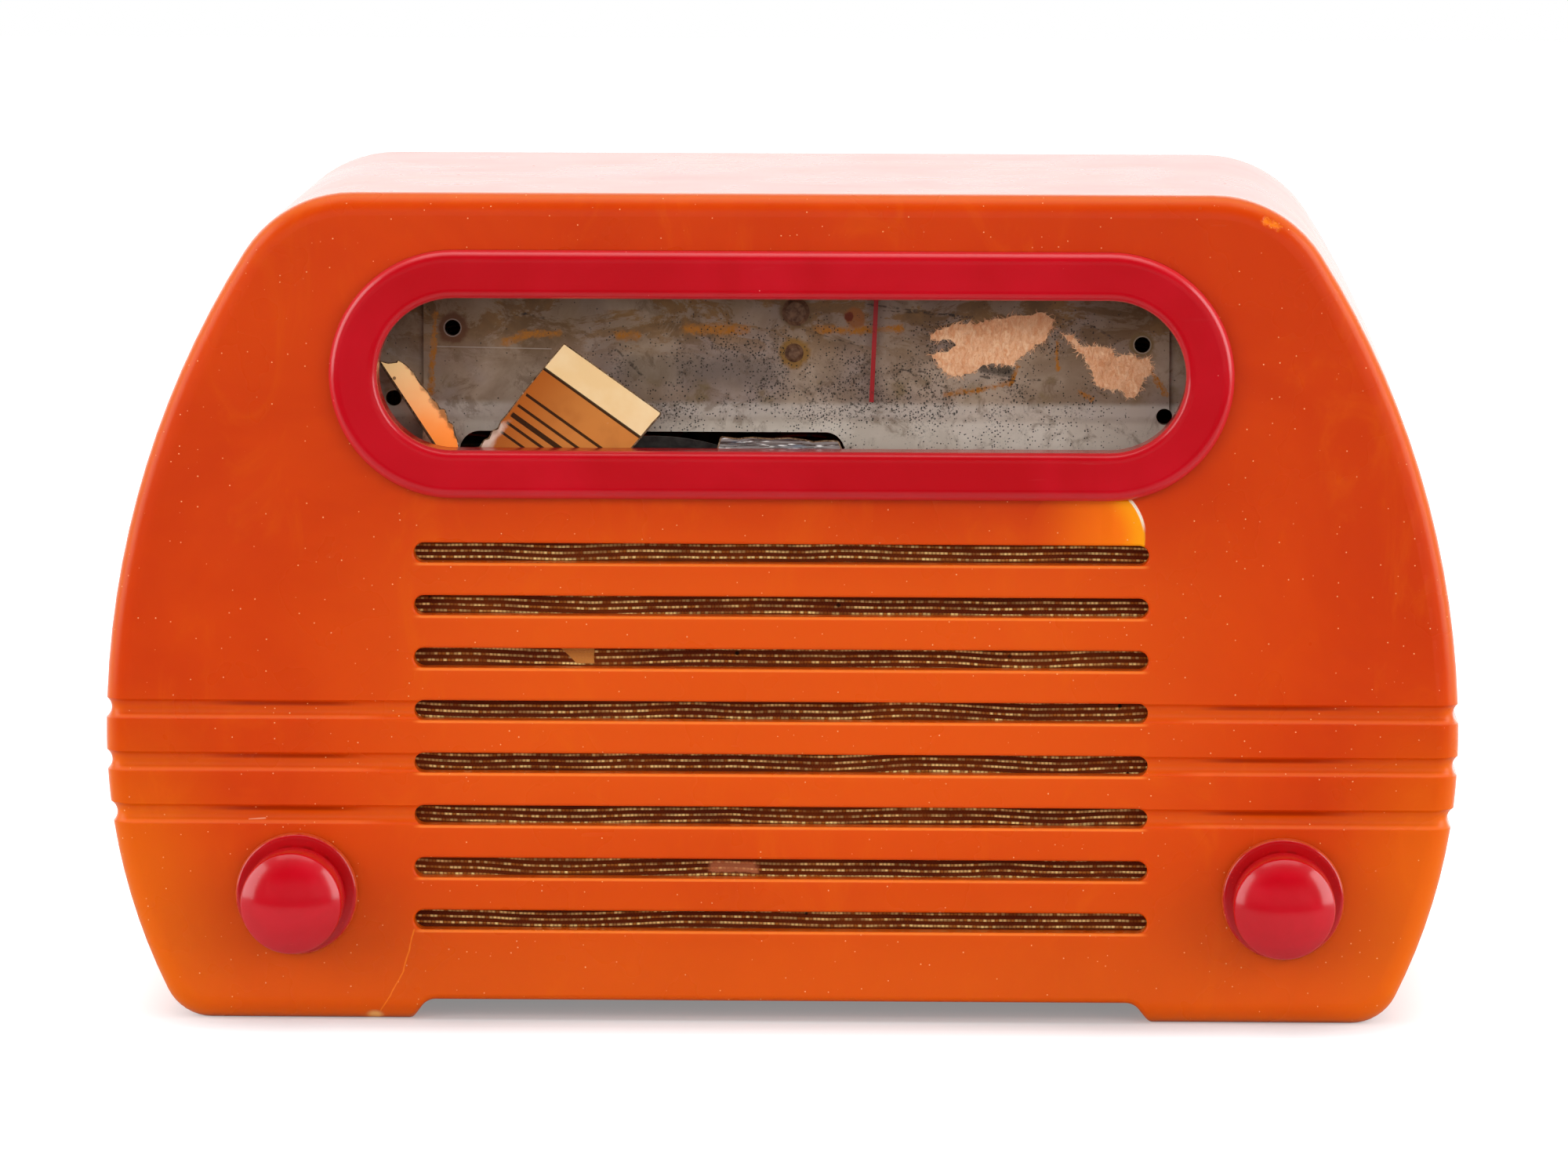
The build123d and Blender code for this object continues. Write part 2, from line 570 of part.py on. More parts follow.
# Speaker: pressed frame with windows, screwed to the board; paper cone on a voice coil; magnet
rim_inner_radius = speaker_radius - SPEAKER_RIM_WIDTH
rim_back = board_back + SPEAKER_SHEET
coil_hole_radius = COIL_RADIUS + COIL_GAP
with BuildPart() as speaker_frame:
    with BuildSketch(turning_plane(SPEAKER_OFFSET, speaker_z)):
        with BuildLine():
            Polyline(
                (rim_inner_radius, board_back),
                (speaker_radius, board_back),
                (speaker_radius, rim_back),
                (rim_inner_radius + SPEAKER_SHEET, rim_back),
                (BASKET_BACK_RADIUS + SPEAKER_SHEET, basket_back + SPEAKER_SHEET),
                (coil_hole_radius, basket_back + SPEAKER_SHEET),
                (coil_hole_radius, basket_back),
                (BASKET_BACK_RADIUS, basket_back),
                close=True,
            )
        make_face()
    revolve(axis=turning_axis(SPEAKER_OFFSET, speaker_z))
    window_middle = (BASKET_BACK_RADIUS + rim_inner_radius) / 2
    window_height = (rim_inner_radius - BASKET_BACK_RADIUS) / 2
    with BuildSketch(front_plane(basket_back)):
        with Locations((SPEAKER_OFFSET, speaker_z)):
            with PolarLocations(window_middle, BASKET_WINDOWS):
                RectangleRounded(window_height, window_middle, window_height / 4)
    extrude(amount=BASKET_DEPTH, mode=Mode.SUBTRACT)
    with BuildSketch(front_plane(rim_back)):
        with Locations((SPEAKER_OFFSET, speaker_z)):
            with PolarLocations(speaker_screw_circle, SPEAKER_SCREW_COUNT, start_angle=SPEAKER_SCREW_START):
                Circle(SPEAKER_SCREW_RADIUS + SCREW_CLEARANCE)
    extrude(amount=SPEAKER_SHEET, mode=Mode.SUBTRACT)

with BuildPart() as speaker_screws:
    with BuildSketch(front_plane(rim_back + SPEAKER_SCREW_HEAD)):
        with Locations((SPEAKER_OFFSET, speaker_z)):
            with PolarLocations(speaker_screw_circle, SPEAKER_SCREW_COUNT, start_angle=SPEAKER_SCREW_START):
                Circle(SPEAKER_SCREW_HEAD_RADIUS)
    extrude(amount=SPEAKER_SCREW_HEAD)
    with BuildSketch(front_plane(rim_back)):
        with Locations((SPEAKER_OFFSET, speaker_z)):
            with PolarLocations(speaker_screw_circle, SPEAKER_SCREW_COUNT, start_angle=SPEAKER_SCREW_START):
                Circle(SPEAKER_SCREW_RADIUS)
    extrude(amount=rim_back - cloth_back)

cone_rim_radius = rim_inner_radius - CONE_EDGE_ROOM
cone_front = board_back + CONE_FRONT_ROOM
cone_back = cone_front + CONE_DEPTH
cap_radius = (COIL_RADIUS**2 + DUST_CAP_RISE**2) / (2 * DUST_CAP_RISE)
cap_centre = cone_back - DUST_CAP_RISE + cap_radius
cap_sweep = degrees(asin(COIL_RADIUS / cap_radius))
with BuildPart() as speaker_cone:
    with BuildSketch(turning_plane(SPEAKER_OFFSET, speaker_z)):
        with BuildLine():
            cap_front = CenterArc((0, cap_centre), cap_radius, -90, cap_sweep)
            Polyline(
                cap_front @ 1,
                (cone_rim_radius, cone_front),
                (cone_rim_radius, cone_front + CONE_THICKNESS),
                (COIL_RADIUS, cone_back + CONE_THICKNESS),
                (0, cone_back + CONE_THICKNESS),
                cap_front @ 0,
            )
        make_face()
    revolve(axis=turning_axis(SPEAKER_OFFSET, speaker_z))

with BuildPart() as voice_coil:
    with BuildSketch(front_plane(cone_back + CONE_THICKNESS + COIL_LENGTH)):
        with Locations((SPEAKER_OFFSET, speaker_z)):
            Circle(COIL_RADIUS)
            Circle(COIL_RADIUS - COIL_WALL, mode=Mode.SUBTRACT)
    extrude(amount=COIL_LENGTH)

magnet_front = basket_back + SPEAKER_SHEET
magnet_back = magnet_front + MAGNET_DEPTH
pole_radius = COIL_RADIUS - COIL_WALL - COIL_GAP
with BuildPart() as speaker_magnet:
    with BuildSketch(turning_plane(SPEAKER_OFFSET, speaker_z)):
        with BuildLine():
            Polyline(
                (0, magnet_front),
                (pole_radius, magnet_front),
                (pole_radius, magnet_back - MAGNET_PLATE),
                (coil_hole_radius + MAGNET_PLATE / 2, magnet_back - MAGNET_PLATE),
                (coil_hole_radius + MAGNET_PLATE / 2, magnet_front + MAGNET_PLATE),
                (coil_hole_radius, magnet_front + MAGNET_PLATE),
                (coil_hole_radius, magnet_front),
                (MAGNET_RADIUS, magnet_front),
                (MAGNET_RADIUS, magnet_back),
                (0, magnet_back),
                close=True,
            )
        make_face()
    revolve(axis=turning_axis(SPEAKER_OFFSET, speaker_z))

# Chassis: an open pan with turned-in lips, screwed to the cabinet's floor
chassis_middle_y = front_y + CHASSIS_FRONT_DEPTH + CHASSIS_DEPTH / 2
tube_row_y = front_y + chassis_back_depth - TUBE_ROW_ROOM
tube_places = [
    (CHASSIS_SHIFT + TUBE_PITCH * (number - (TUBE_COUNT - 1) / 2), tube_row_y) for number in range(TUBE_COUNT)
]
with BuildPart() as chassis:
    with BuildSketch(Plane.XY.offset(inner_floor)):
        with Locations((CHASSIS_SHIFT, chassis_middle_y)):
            RectangleRounded(2 * chassis_half_width, CHASSIS_DEPTH, CHASSIS_CORNER_RADIUS)
    extrude(amount=CHASSIS_HEIGHT)
    with BuildSketch(Plane.XY.offset(inner_floor)):
        with Locations((CHASSIS_SHIFT, chassis_middle_y)):
            RectangleRounded(
                2 * (chassis_half_width - CHASSIS_SHEET),
                CHASSIS_DEPTH - 2 * CHASSIS_SHEET,
                CHASSIS_CORNER_RADIUS - CHASSIS_SHEET,
            )
    extrude(amount=CHASSIS_HEIGHT - CHASSIS_SHEET, mode=Mode.SUBTRACT)
    with BuildSketch(Plane.XY.offset(inner_floor)):
        with Locations((CHASSIS_SHIFT, chassis_middle_y)):
            RectangleRounded(2 * chassis_half_width, CHASSIS_DEPTH, CHASSIS_CORNER_RADIUS)
            Rectangle(
                2 * chassis_half_width, CHASSIS_DEPTH - 2 * (CHASSIS_LIP + CHASSIS_SHEET), mode=Mode.SUBTRACT
            )
        with Locations(*chassis_screws_at):
            Circle(SCREW_RADIUS + SCREW_CLEARANCE, mode=Mode.SUBTRACT)
    extrude(amount=CHASSIS_SHEET)
    with BuildSketch(Plane.XY.offset(chassis_top)):
        with Locations(*tube_places):
            Circle(SOCKET_RADIUS + SCREW_CLEARANCE)
    extrude(amount=-CHASSIS_SHEET, mode=Mode.SUBTRACT)
    with BuildSketch(front_plane(apron_back)):
        with Locations(*control_places):
            Circle(BUSHING_RADIUS + SCREW_CLEARANCE)
    extrude(amount=CHASSIS_SHEET, mode=Mode.SUBTRACT)

with BuildPart() as chassis_screws:
    with BuildSketch(Plane.XY.offset(FOOT_HEIGHT)):
        with Locations(*chassis_screws_at):
            RegularPolygon(SCREW_HEAD_RADIUS, 6)
    extrude(amount=-SCREW_HEAD)
    with BuildSketch(Plane.XY.offset(FOOT_HEIGHT)):
        with Locations(*chassis_screws_at):
            Circle(SCREW_RADIUS)
    extrude(amount=WALL + CHASSIS_SHEET + SCREW_TAIL)

# Five tubes: sockets in the chassis, moulded bases, glass envelopes
socket_top = chassis_top + SOCKET_FLANGE
tube_base_top = socket_top + TUBE_BASE_HEIGHT
with BuildPart() as tube_sockets:
    with BuildSketch(Plane.XY.offset(chassis_top)):
        with Locations(*tube_places):
            Circle(SOCKET_FLANGE_RADIUS)
    extrude(amount=SOCKET_FLANGE)
    with BuildSketch(Plane.XY.offset(chassis_top)):
        with Locations(*tube_places):
            Circle(SOCKET_RADIUS)
    extrude(amount=-SOCKET_BODY)

with BuildPart() as tube_bases:
    with BuildSketch(Plane.XY.offset(socket_top)):
        with Locations(*tube_places):
            Circle(TUBE_BASE_RADIUS)
    extrude(amount=TUBE_BASE_HEIGHT)

tube_bore = TUBE_GLASS_RADIUS - TUBE_GLASS_WALL
tube_ceiling = TUBE_GLASS_HEIGHT - TUBE_GLASS_WALL
with BuildPart() as tube_envelopes:
    for tube_x, tube_y in tube_places:
        tube_foot = Plane(origin=(tube_x, tube_y, tube_base_top), x_dir=(1, 0, 0), z_dir=(0, -1, 0))
        with BuildSketch(tube_foot) as glass_profile:
            Rectangle(TUBE_GLASS_RADIUS, TUBE_GLASS_HEIGHT, align=(Align.MIN, Align.MIN))
            Rectangle(tube_bore, tube_ceiling, align=(Align.MIN, Align.MIN), mode=Mode.SUBTRACT)
            outer_shoulder = glass_profile.vertices().group_by(Axis.X)[-1].sort_by(Axis.Y)[-1:]
            fillet(outer_shoulder, TUBE_SHOULDER_RADIUS)
            inner_shoulder = glass_profile.vertices().group_by(Axis.X)[-2].sort_by(Axis.Y)[-1:]
            fillet(inner_shoulder, TUBE_SHOULDER_RADIUS - TUBE_GLASS_WALL)
        revolve(axis=Axis((tube_x, tube_y, tube_base_top), (0, 0, 1)))

# IF cans, filter capacitor and output transformer on the chassis; small parts under it
if_can_y = front_y + CHASSIS_FRONT_DEPTH + IF_CAN_FRONT_ROOM
if_can_places = [
    (gang_x - IF_CAN_OFFSET + side * IF_CAN_SPACING / 2, if_can_y) for side in (-1, 1)
]
with BuildPart() as if_cans:
    with BuildSketch(Plane.XY.offset(chassis_top)):
        with Locations(*if_can_places):
            Rectangle(IF_CAN_WIDTH, IF_CAN_WIDTH)
    extrude(amount=IF_CAN_HEIGHT)
    with BuildSketch(Plane.XY.offset(chassis_top)):
        with Locations(*if_can_places):
            Rectangle(IF_CAN_WIDTH - 2 * IF_CAN_WALL, IF_CAN_WIDTH - 2 * IF_CAN_WALL)
    extrude(amount=IF_CAN_HEIGHT - IF_CAN_WALL, mode=Mode.SUBTRACT)

with BuildPart() as filter_capacitor:
    with BuildSketch(Plane.XY.offset(chassis_top)):
        with Locations((chassis_left + FILTER_OFFSET, front_y + CHASSIS_FRONT_DEPTH + FILTER_FRONT_ROOM)):
            Circle(FILTER_RADIUS)
    extrude(amount=FILTER_HEIGHT)

transformer_back = CHASSIS_FRONT_DEPTH + TRANSFORMER_FRONT_ROOM + TRANSFORMER_STACK / 2
transformer_x = chassis_left + TRANSFORMER_OFFSET
transformer_z = chassis_top + TRANSFORMER_HEIGHT / 2
yoke_window_height = TRANSFORMER_HEIGHT - 2 * TRANSFORMER_LEG
yoke_window_width = (TRANSFORMER_WIDTH - 4 * TRANSFORMER_LEG) / 2
with BuildPart() as output_transformer_core:
    with BuildSketch(front_plane(transformer_back)):
        with Locations((transformer_x, transformer_z)):
            Rectangle(TRANSFORMER_WIDTH, TRANSFORMER_HEIGHT)
            with GridLocations(2 * TRANSFORMER_LEG + yoke_window_width, 0, 2, 1):
                Rectangle(yoke_window_width, yoke_window_height, mode=Mode.SUBTRACT)
    extrude(amount=TRANSFORMER_STACK)

transformer_middle_y = front_y + CHASSIS_FRONT_DEPTH + TRANSFORMER_FRONT_ROOM
with BuildPart() as output_transformer_coil:
    with BuildSketch(Plane.XY.offset(chassis_top + TRANSFORMER_LEG)):
        with Locations((transformer_x, transformer_middle_y)):
            Rectangle(
                2 * (TRANSFORMER_LEG + yoke_window_width), TRANSFORMER_STACK + 2 * TRANSFORMER_WINDING
            )
            Rectangle(2 * TRANSFORMER_LEG, TRANSFORMER_STACK, mode=Mode.SUBTRACT)
    extrude(amount=yoke_window_height)

chassis_ceiling = chassis_top - CHASSIS_SHEET
paper_row_y = front_y + CHASSIS_FRONT_DEPTH + PAPER_CAPACITOR_FRONT_ROOM
with BuildPart() as paper_capacitors:
    with BuildSketch(Plane.YZ.offset(-PAPER_CAPACITOR_LENGTH / 2)):
        with Locations((paper_row_y, chassis_ceiling - PAPER_CAPACITOR_RADIUS)):
            with GridLocations(COMPONENT_PITCH, 0, 2, 1):
                Circle(PAPER_CAPACITOR_RADIUS)
    extrude(amount=PAPER_CAPACITOR_LENGTH)
    with BuildSketch(Plane.YZ.offset(-2 * PAPER_CAPACITOR_LENGTH)):
        with Locations((paper_row_y, chassis_ceiling - PAPER_CAPACITOR_RADIUS)):
            with GridLocations(COMPONENT_PITCH, 0, PAPER_CAPACITOR_COUNT - 2, 1):
                Circle(PAPER_CAPACITOR_RADIUS)
    extrude(amount=PAPER_CAPACITOR_LENGTH)

with BuildPart() as resistors:
    for number in range(RESISTOR_COUNT):
        resistor_x = PAPER_CAPACITOR_LENGTH + COMPONENT_PITCH * (number // 2)
        with BuildSketch(Plane.YZ.offset(resistor_x)):
            resistor_y = front_y + CHASSIS_FRONT_DEPTH + COMPONENT_PITCH * (1 + number % 2)
            with Locations((resistor_y, chassis_ceiling - RESISTOR_RADIUS)):
                Circle(RESISTOR_RADIUS)
        extrude(amount=RESISTOR_LENGTH)

# Tuning gang: frame with two bearing plates, fixed stator, turning rotor
with BuildPart() as gang_frame:
    with BuildSketch(Plane.YZ.offset(gang_x - GANG_WIDTH / 2)):
        with Locations((front_y + gang_front, chassis_top)):
            Rectangle(GANG_LENGTH, GANG_HEIGHT, align=(Align.MIN, Align.MIN))
        with Locations((front_y + gang_front + GANG_SHEET, chassis_top + GANG_SHEET)):
            Rectangle(
                GANG_LENGTH - 2 * GANG_SHEET, GANG_HEIGHT, align=(Align.MIN, Align.MIN), mode=Mode.SUBTRACT
            )
    extrude(amount=GANG_WIDTH)
    with BuildSketch(front_plane(gang_back)):
        with Locations((gang_x, gang_z)):
            Circle(SHAFT_RADIUS + RUNNING_CLEARANCE)
    extrude(amount=GANG_LENGTH, mode=Mode.SUBTRACT)

gang_bank = ROTOR_PITCH * ROTOR_PLATES
gang_spare = (GANG_LENGTH - 2 * GANG_SHEET - 2 * gang_bank) / 3
bank_fronts = [gang_front + GANG_SHEET + gang_spare + (gang_bank + gang_spare) * bank for bank in range(2)]
rotor_depths = [front + ROTOR_PITCH * number for front in bank_fronts for number in range(ROTOR_PLATES)]
stator_depths = [depth + ROTOR_PITCH / 2 for depth in rotor_depths]
rotor_opening = degrees((POINTER_REST + POINTER_TRAVEL / 2) / DRUM_RADIUS)
with BuildPart() as gang_rotor:
    with BuildSketch(front_plane(gang_back + GANG_SHEET)):
        with Locations((gang_x, gang_z)):
            Circle(SHAFT_RADIUS)
    extrude(amount=gang_back + GANG_SHEET - CORD_DEPTH + DRUM_WIDTH)
    for depth in rotor_depths:
        with BuildSketch(front_plane(depth + ROTOR_SHEET)):
            with BuildLine():
                edge = CenterArc((gang_x, gang_z), ROTOR_RADIUS, 180 + rotor_opening, 180)
                Line(edge @ 1, edge @ 0)
            make_face()
        extrude(amount=ROTOR_SHEET)

rod_radius = ROTOR_RADIUS + STATOR_CLEARANCE + STATOR_ROD_RADIUS
rod_spread = rod_radius * cos(radians(STATOR_ROD_ANGLE))
rod_z = gang_z - rod_radius * sin(radians(STATOR_ROD_ANGLE))
rod_places = [(gang_x + side * rod_spread, rod_z) for side in (-1, 1)]
with BuildPart() as gang_stator:
    with BuildSketch(front_plane(gang_back - GANG_SHEET)):
        with Locations(*rod_places):
            Circle(STATOR_ROD_RADIUS)
    extrude(amount=GANG_LENGTH - 2 * GANG_SHEET)
    for depth in stator_depths:
        with BuildSketch(front_plane(depth + ROTOR_SHEET)):
            with BuildLine():
                edge = CenterArc((gang_x, gang_z), rod_radius, 180, 180)
                Line(edge @ 1, edge @ 0)
            make_face()
            with Locations((gang_x, gang_z)):
                Circle(STATOR_INNER_RADIUS, mode=Mode.SUBTRACT)
        extrude(amount=ROTOR_SHEET)

# Dial drum on the rotor's shaft: grooved rim, thin web with holes, hub
drum_front = CORD_DEPTH - DRUM_WIDTH / 2
drum_back = CORD_DEPTH + DRUM_WIDTH / 2
groove_floor = DRUM_RADIUS - CORD_RADIUS - CORD_CLEARANCE
drum_edge = DRUM_RADIUS + DRUM_FLANGE
with BuildPart() as dial_drum:
    with BuildSketch(turning_plane(gang_x, gang_z)):
        with BuildLine():
            Polyline(
                (SHAFT_RADIUS, drum_front),
                (DRUM_HUB_RADIUS, drum_front),
                (DRUM_HUB_RADIUS, CORD_DEPTH - DRUM_WEB / 2),
                (groove_floor - DRUM_RIM, CORD_DEPTH - DRUM_WEB / 2),
                (groove_floor - DRUM_RIM, drum_front),
                (drum_edge, drum_front),
                (drum_edge, drum_front + DRUM_FLANGE_THICKNESS),
                (groove_floor, drum_front + DRUM_FLANGE_THICKNESS),
                (groove_floor, drum_back - DRUM_FLANGE_THICKNESS),
                (drum_edge, drum_back - DRUM_FLANGE_THICKNESS),
                (drum_edge, drum_back),
                (groove_floor - DRUM_RIM, drum_back),
                (groove_floor - DRUM_RIM, CORD_DEPTH + DRUM_WEB / 2),
                (DRUM_HUB_RADIUS, CORD_DEPTH + DRUM_WEB / 2),
                (DRUM_HUB_RADIUS, drum_front + DRUM_HUB_LENGTH),
                (SHAFT_RADIUS, drum_front + DRUM_HUB_LENGTH),
                close=True,
            )
        make_face()
    revolve(axis=turning_axis(gang_x, gang_z))
    with BuildSketch(front_plane(drum_back)):
        with Locations((gang_x, gang_z)):
            with PolarLocations((DRUM_HUB_RADIUS + groove_floor - DRUM_RIM) / 2, DRUM_HOLES):
                Circle(DRUM_HOLE_RADIUS)
    extrude(amount=DRUM_WIDTH, mode=Mode.SUBTRACT)

# Dial brackets: a tab behind each end of the dial plate, a shelf back over the drum, a strap to the chassis
shelf_z = dial_z - BRACKET_TAB_DROP
brackets = {}
bracket_sides = ((-1, "dial_bracket_left", -PLATE_LEFT), (1, "dial_bracket_right", PLATE_RIGHT))
tongue_end = PULLEY_SPREAD + BRACKET_TONGUE_ROOM
tab_end = half_width_at(dial_z + BRACKET_TAB_RISE) - WALL - BRACKET_WALL_ROOM
shelf_start = tab_end - BRACKET_SHELF_LAP
lamp_x = LAMP_END_ROOM - tab_end
for side, bracket_name, plate_end in bracket_sides:
    strap_end = side * CHASSIS_SHIFT + chassis_half_width - BRACKET_END_ROOM
    strap_start = strap_end - BRACKET_STRAP_WIDTH
    strap_middle = side * (strap_start + strap_end) / 2
    tab_start = plate_end - BRACKET_OVERLAP
    tab_height = BRACKET_TAB_DROP + BRACKET_TAB_RISE
    strap_height = shelf_z - chassis_top + BRACKET_SHEET
    with BuildPart() as bracket:
        with BuildSketch(front_plane(bracket_back)):
            with Locations((side * (tab_start + tab_end) / 2, shelf_z)):
                Rectangle(tab_end - tab_start, tab_height, align=(Align.CENTER, Align.MIN))
            with Locations((side * (tab_start + tongue_end) / 2, shelf_z)):
                Rectangle(tongue_end - tab_start, plate_top - shelf_z, align=(Align.CENTER, Align.MIN))
            for hole_x, hole_rise in (*PLATE_HOLES, BRACKET_HOLE):
                with Locations((hole_x, dial_z + hole_rise)):
                    Circle(PLATE_HOLE_RADIUS, mode=Mode.SUBTRACT)
            with Locations((lamp_x, dial_z + LAMP_RISE)):
                Circle(LAMP_NECK_RADIUS, mode=Mode.SUBTRACT)
        extrude(amount=BRACKET_SHEET)
        with BuildSketch(front_plane(apron_back)):
            with Locations((side * (shelf_start + strap_end) / 2, shelf_z)):
                Rectangle(strap_end - shelf_start, BRACKET_SHEET, align=(Align.CENTER, Align.MIN))
        extrude(amount=apron_back - plate_back)
        with BuildSketch(front_plane(apron_back)):
            with Locations((strap_middle, chassis_top)):
                Rectangle(BRACKET_STRAP_WIDTH, strap_height, align=(Align.CENTER, Align.MIN))
        extrude(amount=BRACKET_SHEET)
        with BuildSketch(front_plane(apron_back + BRACKET_FOOT)):
            with Locations((strap_middle, chassis_top)):
                Rectangle(BRACKET_STRAP_WIDTH, BRACKET_SHEET, align=(Align.CENTER, Align.MIN))
        extrude(amount=BRACKET_FOOT + BRACKET_SHEET)
    brackets[bracket_name] = bracket

foot_screws_at = [
    (
        CHASSIS_SHIFT + side * (chassis_half_width - BRACKET_END_ROOM - BRACKET_STRAP_WIDTH / 2),
        front_y + apron_back + BRACKET_FOOT / 2,
    )
    for side in (-1, 1)
]
with BuildPart() as bracket_screws:
    with BuildSketch(Plane.XY.offset(chassis_top + BRACKET_SHEET)):
        with Locations(*foot_screws_at):
            RegularPolygon(SCREW_HEAD_RADIUS, 6)
    extrude(amount=SCREW_HEAD)

# Dial plate: sheet steel, upright behind the window, folded forward and down into a ledge
fold_middle = PLATE_DEPTH + PLATE_SHEET / 2
with BuildPart() as dial_plate:
    with BuildSketch(Plane.YZ.offset(PLATE_LEFT)):
        with BuildLine():
            FilletPolyline(
                (front_y + fold_middle, plate_top),
                (front_y + fold_middle, dial_z - PLATE_BEND_DROP),
                (front_y + LEDGE_FRONT_DEPTH, dial_z - LEDGE_DROP),
                radius=PLATE_BEND_RADIUS,
            )
        trace(line_width=PLATE_SHEET)
    extrude(amount=PLATE_RIGHT - PLATE_LEFT)
    with BuildSketch(front_plane(plate_back)) as ledge_notch:
        with Locations((SPEAKER_OFFSET, dial_z - LEDGE_NOTCH_DROP)):
            Rectangle(LEDGE_NOTCH_WIDTH, LEDGE_DROP, align=(Align.CENTER, Align.MAX))
        fillet(ledge_notch.vertices().group_by(Axis.Y)[-1], LEDGE_NOTCH_RADIUS)
    extrude(amount=plate_back, mode=Mode.SUBTRACT)
    with BuildSketch(front_plane(plate_back)):
        for hole_x, hole_rise in PLATE_HOLES:
            with Locations((hole_x, dial_z + hole_rise)):
                Circle(PLATE_HOLE_RADIUS)
        for rivet_x, rivet_rise, head_radius in RIVET_PLACES:
            with Locations((rivet_x, dial_z + rivet_rise)):
                Circle(RIVET_SHANK_RADIUS)
    extrude(amount=plate_back, mode=Mode.SUBTRACT)

with BuildPart() as dial_stiffener:
    with BuildSketch(front_plane(bracket_back)):
        with Locations((RIVET_PLACES[0][0], dial_z - STIFFENER_DROP)):
            Rectangle(STIFFENER_WIDTH, STIFFENER_RISE + STIFFENER_DROP, align=(Align.CENTER, Align.MIN))
        for rivet_x, rivet_rise, head_radius in RIVET_PLACES:
            with Locations((rivet_x, dial_z + rivet_rise)):
                Circle(RIVET_SHANK_RADIUS, mode=Mode.SUBTRACT)
    extrude(amount=BRACKET_SHEET)

with BuildPart() as dial_rivets:
    for rivet_x, rivet_rise, head_radius in RIVET_PLACES:
        with BuildSketch(turning_plane(rivet_x, dial_z + rivet_rise)):
            with BuildLine():
                Polyline(
                    (0, PLATE_DEPTH - RIVET_HEAD),
                    (head_radius - RIVET_HEAD, PLATE_DEPTH - RIVET_HEAD),
                    (head_radius, PLATE_DEPTH),
                    (RIVET_SHANK_RADIUS, PLATE_DEPTH),
                    (RIVET_SHANK_RADIUS, bracket_back),
                    (head_radius, bracket_back),
                    (head_radius - RIVET_HEAD, bracket_back + RIVET_HEAD),
                    (0, bracket_back + RIVET_HEAD),
                    close=True,
                )
            make_face()
        revolve(axis=turning_axis(rivet_x, dial_z + rivet_rise))

# Scraps of the felt strip that once cushioned the dial glass
with BuildPart() as felt_scraps:
    with BuildSketch(front_plane(PLATE_DEPTH, dial_z)):
        for scrap_outline in FELT_OUTLINES:
            with BuildLine():
                Polyline(*scrap_outline, close=True)
            make_face()
    extrude(amount=FELT_THICKNESS)

# Pointer: a needle in front of the plate, on a carriage that slides along the plate's top edge
lip_front = PLATE_DEPTH - CARRIAGE_CLEARANCE
lip_back = plate_back + CARRIAGE_CLEARANCE
needle_back = lip_front - CARRIAGE_SHEET
needle_foot = dial_z - PLATE_BEND_DROP + POINTER_FOOT
needle_top = carriage_z + CARRIAGE_SHEET
needle_length = (needle_top - needle_foot) / cos(radians(POINTER_LEAN)) - POINTER_WIDTH / 2
with BuildPart() as pointer_needle:
    with BuildSketch(front_plane(needle_back)):
        with Locations(Location((POINTER_REST, (needle_foot + needle_top) / 2), -POINTER_LEAN)):
            Rectangle(POINTER_WIDTH, needle_length)
    extrude(amount=POINTER_THICKNESS)

with BuildPart() as pointer_carriage:
    with BuildSketch(Plane.YZ.offset(POINTER_REST - CARRIAGE_WIDTH / 2)):
        with Locations((front_y + needle_back, carriage_z)):
            Rectangle(CORD_DEPTH + CORD_RADIUS - needle_back, CARRIAGE_SHEET, align=(Align.MIN, Align.MIN))
        with Locations((front_y + needle_back, carriage_z + CARRIAGE_SHEET)):
            Rectangle(CARRIAGE_SHEET, CARRIAGE_LIP + CARRIAGE_SHEET, align=(Align.MIN, Align.MAX))
        with Locations((front_y + lip_back, carriage_z + CARRIAGE_SHEET)):
            Rectangle(CARRIAGE_SHEET, CARRIAGE_LIP + CARRIAGE_SHEET, align=(Align.MIN, Align.MAX))
    extrude(amount=CARRIAGE_WIDTH)

# Pulleys at both ends of the pointer's run, on studs that stand on the brackets
pulley_floor = PULLEY_RADIUS - CORD_RADIUS - CORD_CLEARANCE
pulley_edge = PULLEY_RADIUS + PULLEY_FLANGE
pulley_front = CORD_DEPTH - PULLEY_WIDTH / 2
pulley_back = CORD_DEPTH + PULLEY_WIDTH / 2
pulley_bore = STUD_RADIUS + RUNNING_CLEARANCE
pulleys = {}
for pulley_name, pulley_x in (("pulley_left", -PULLEY_SPREAD), ("pulley_right", PULLEY_SPREAD)):
    with BuildPart() as pulley:
        with BuildSketch(turning_plane(pulley_x, pulley_z)):
            with BuildLine():
                Polyline(
                    (pulley_bore, pulley_front),
                    (pulley_edge, pulley_front),
                    (pulley_edge, pulley_front + PULLEY_FLANGE_THICKNESS),
                    (pulley_floor, pulley_front + PULLEY_FLANGE_THICKNESS),
                    (pulley_floor, pulley_back - PULLEY_FLANGE_THICKNESS),
                    (pulley_edge, pulley_back - PULLEY_FLANGE_THICKNESS),
                    (pulley_edge, pulley_back),
                    (pulley_bore, pulley_back),
                    close=True,
                )
            make_face()
        revolve(axis=turning_axis(pulley_x, pulley_z))
    pulleys[pulley_name] = pulley

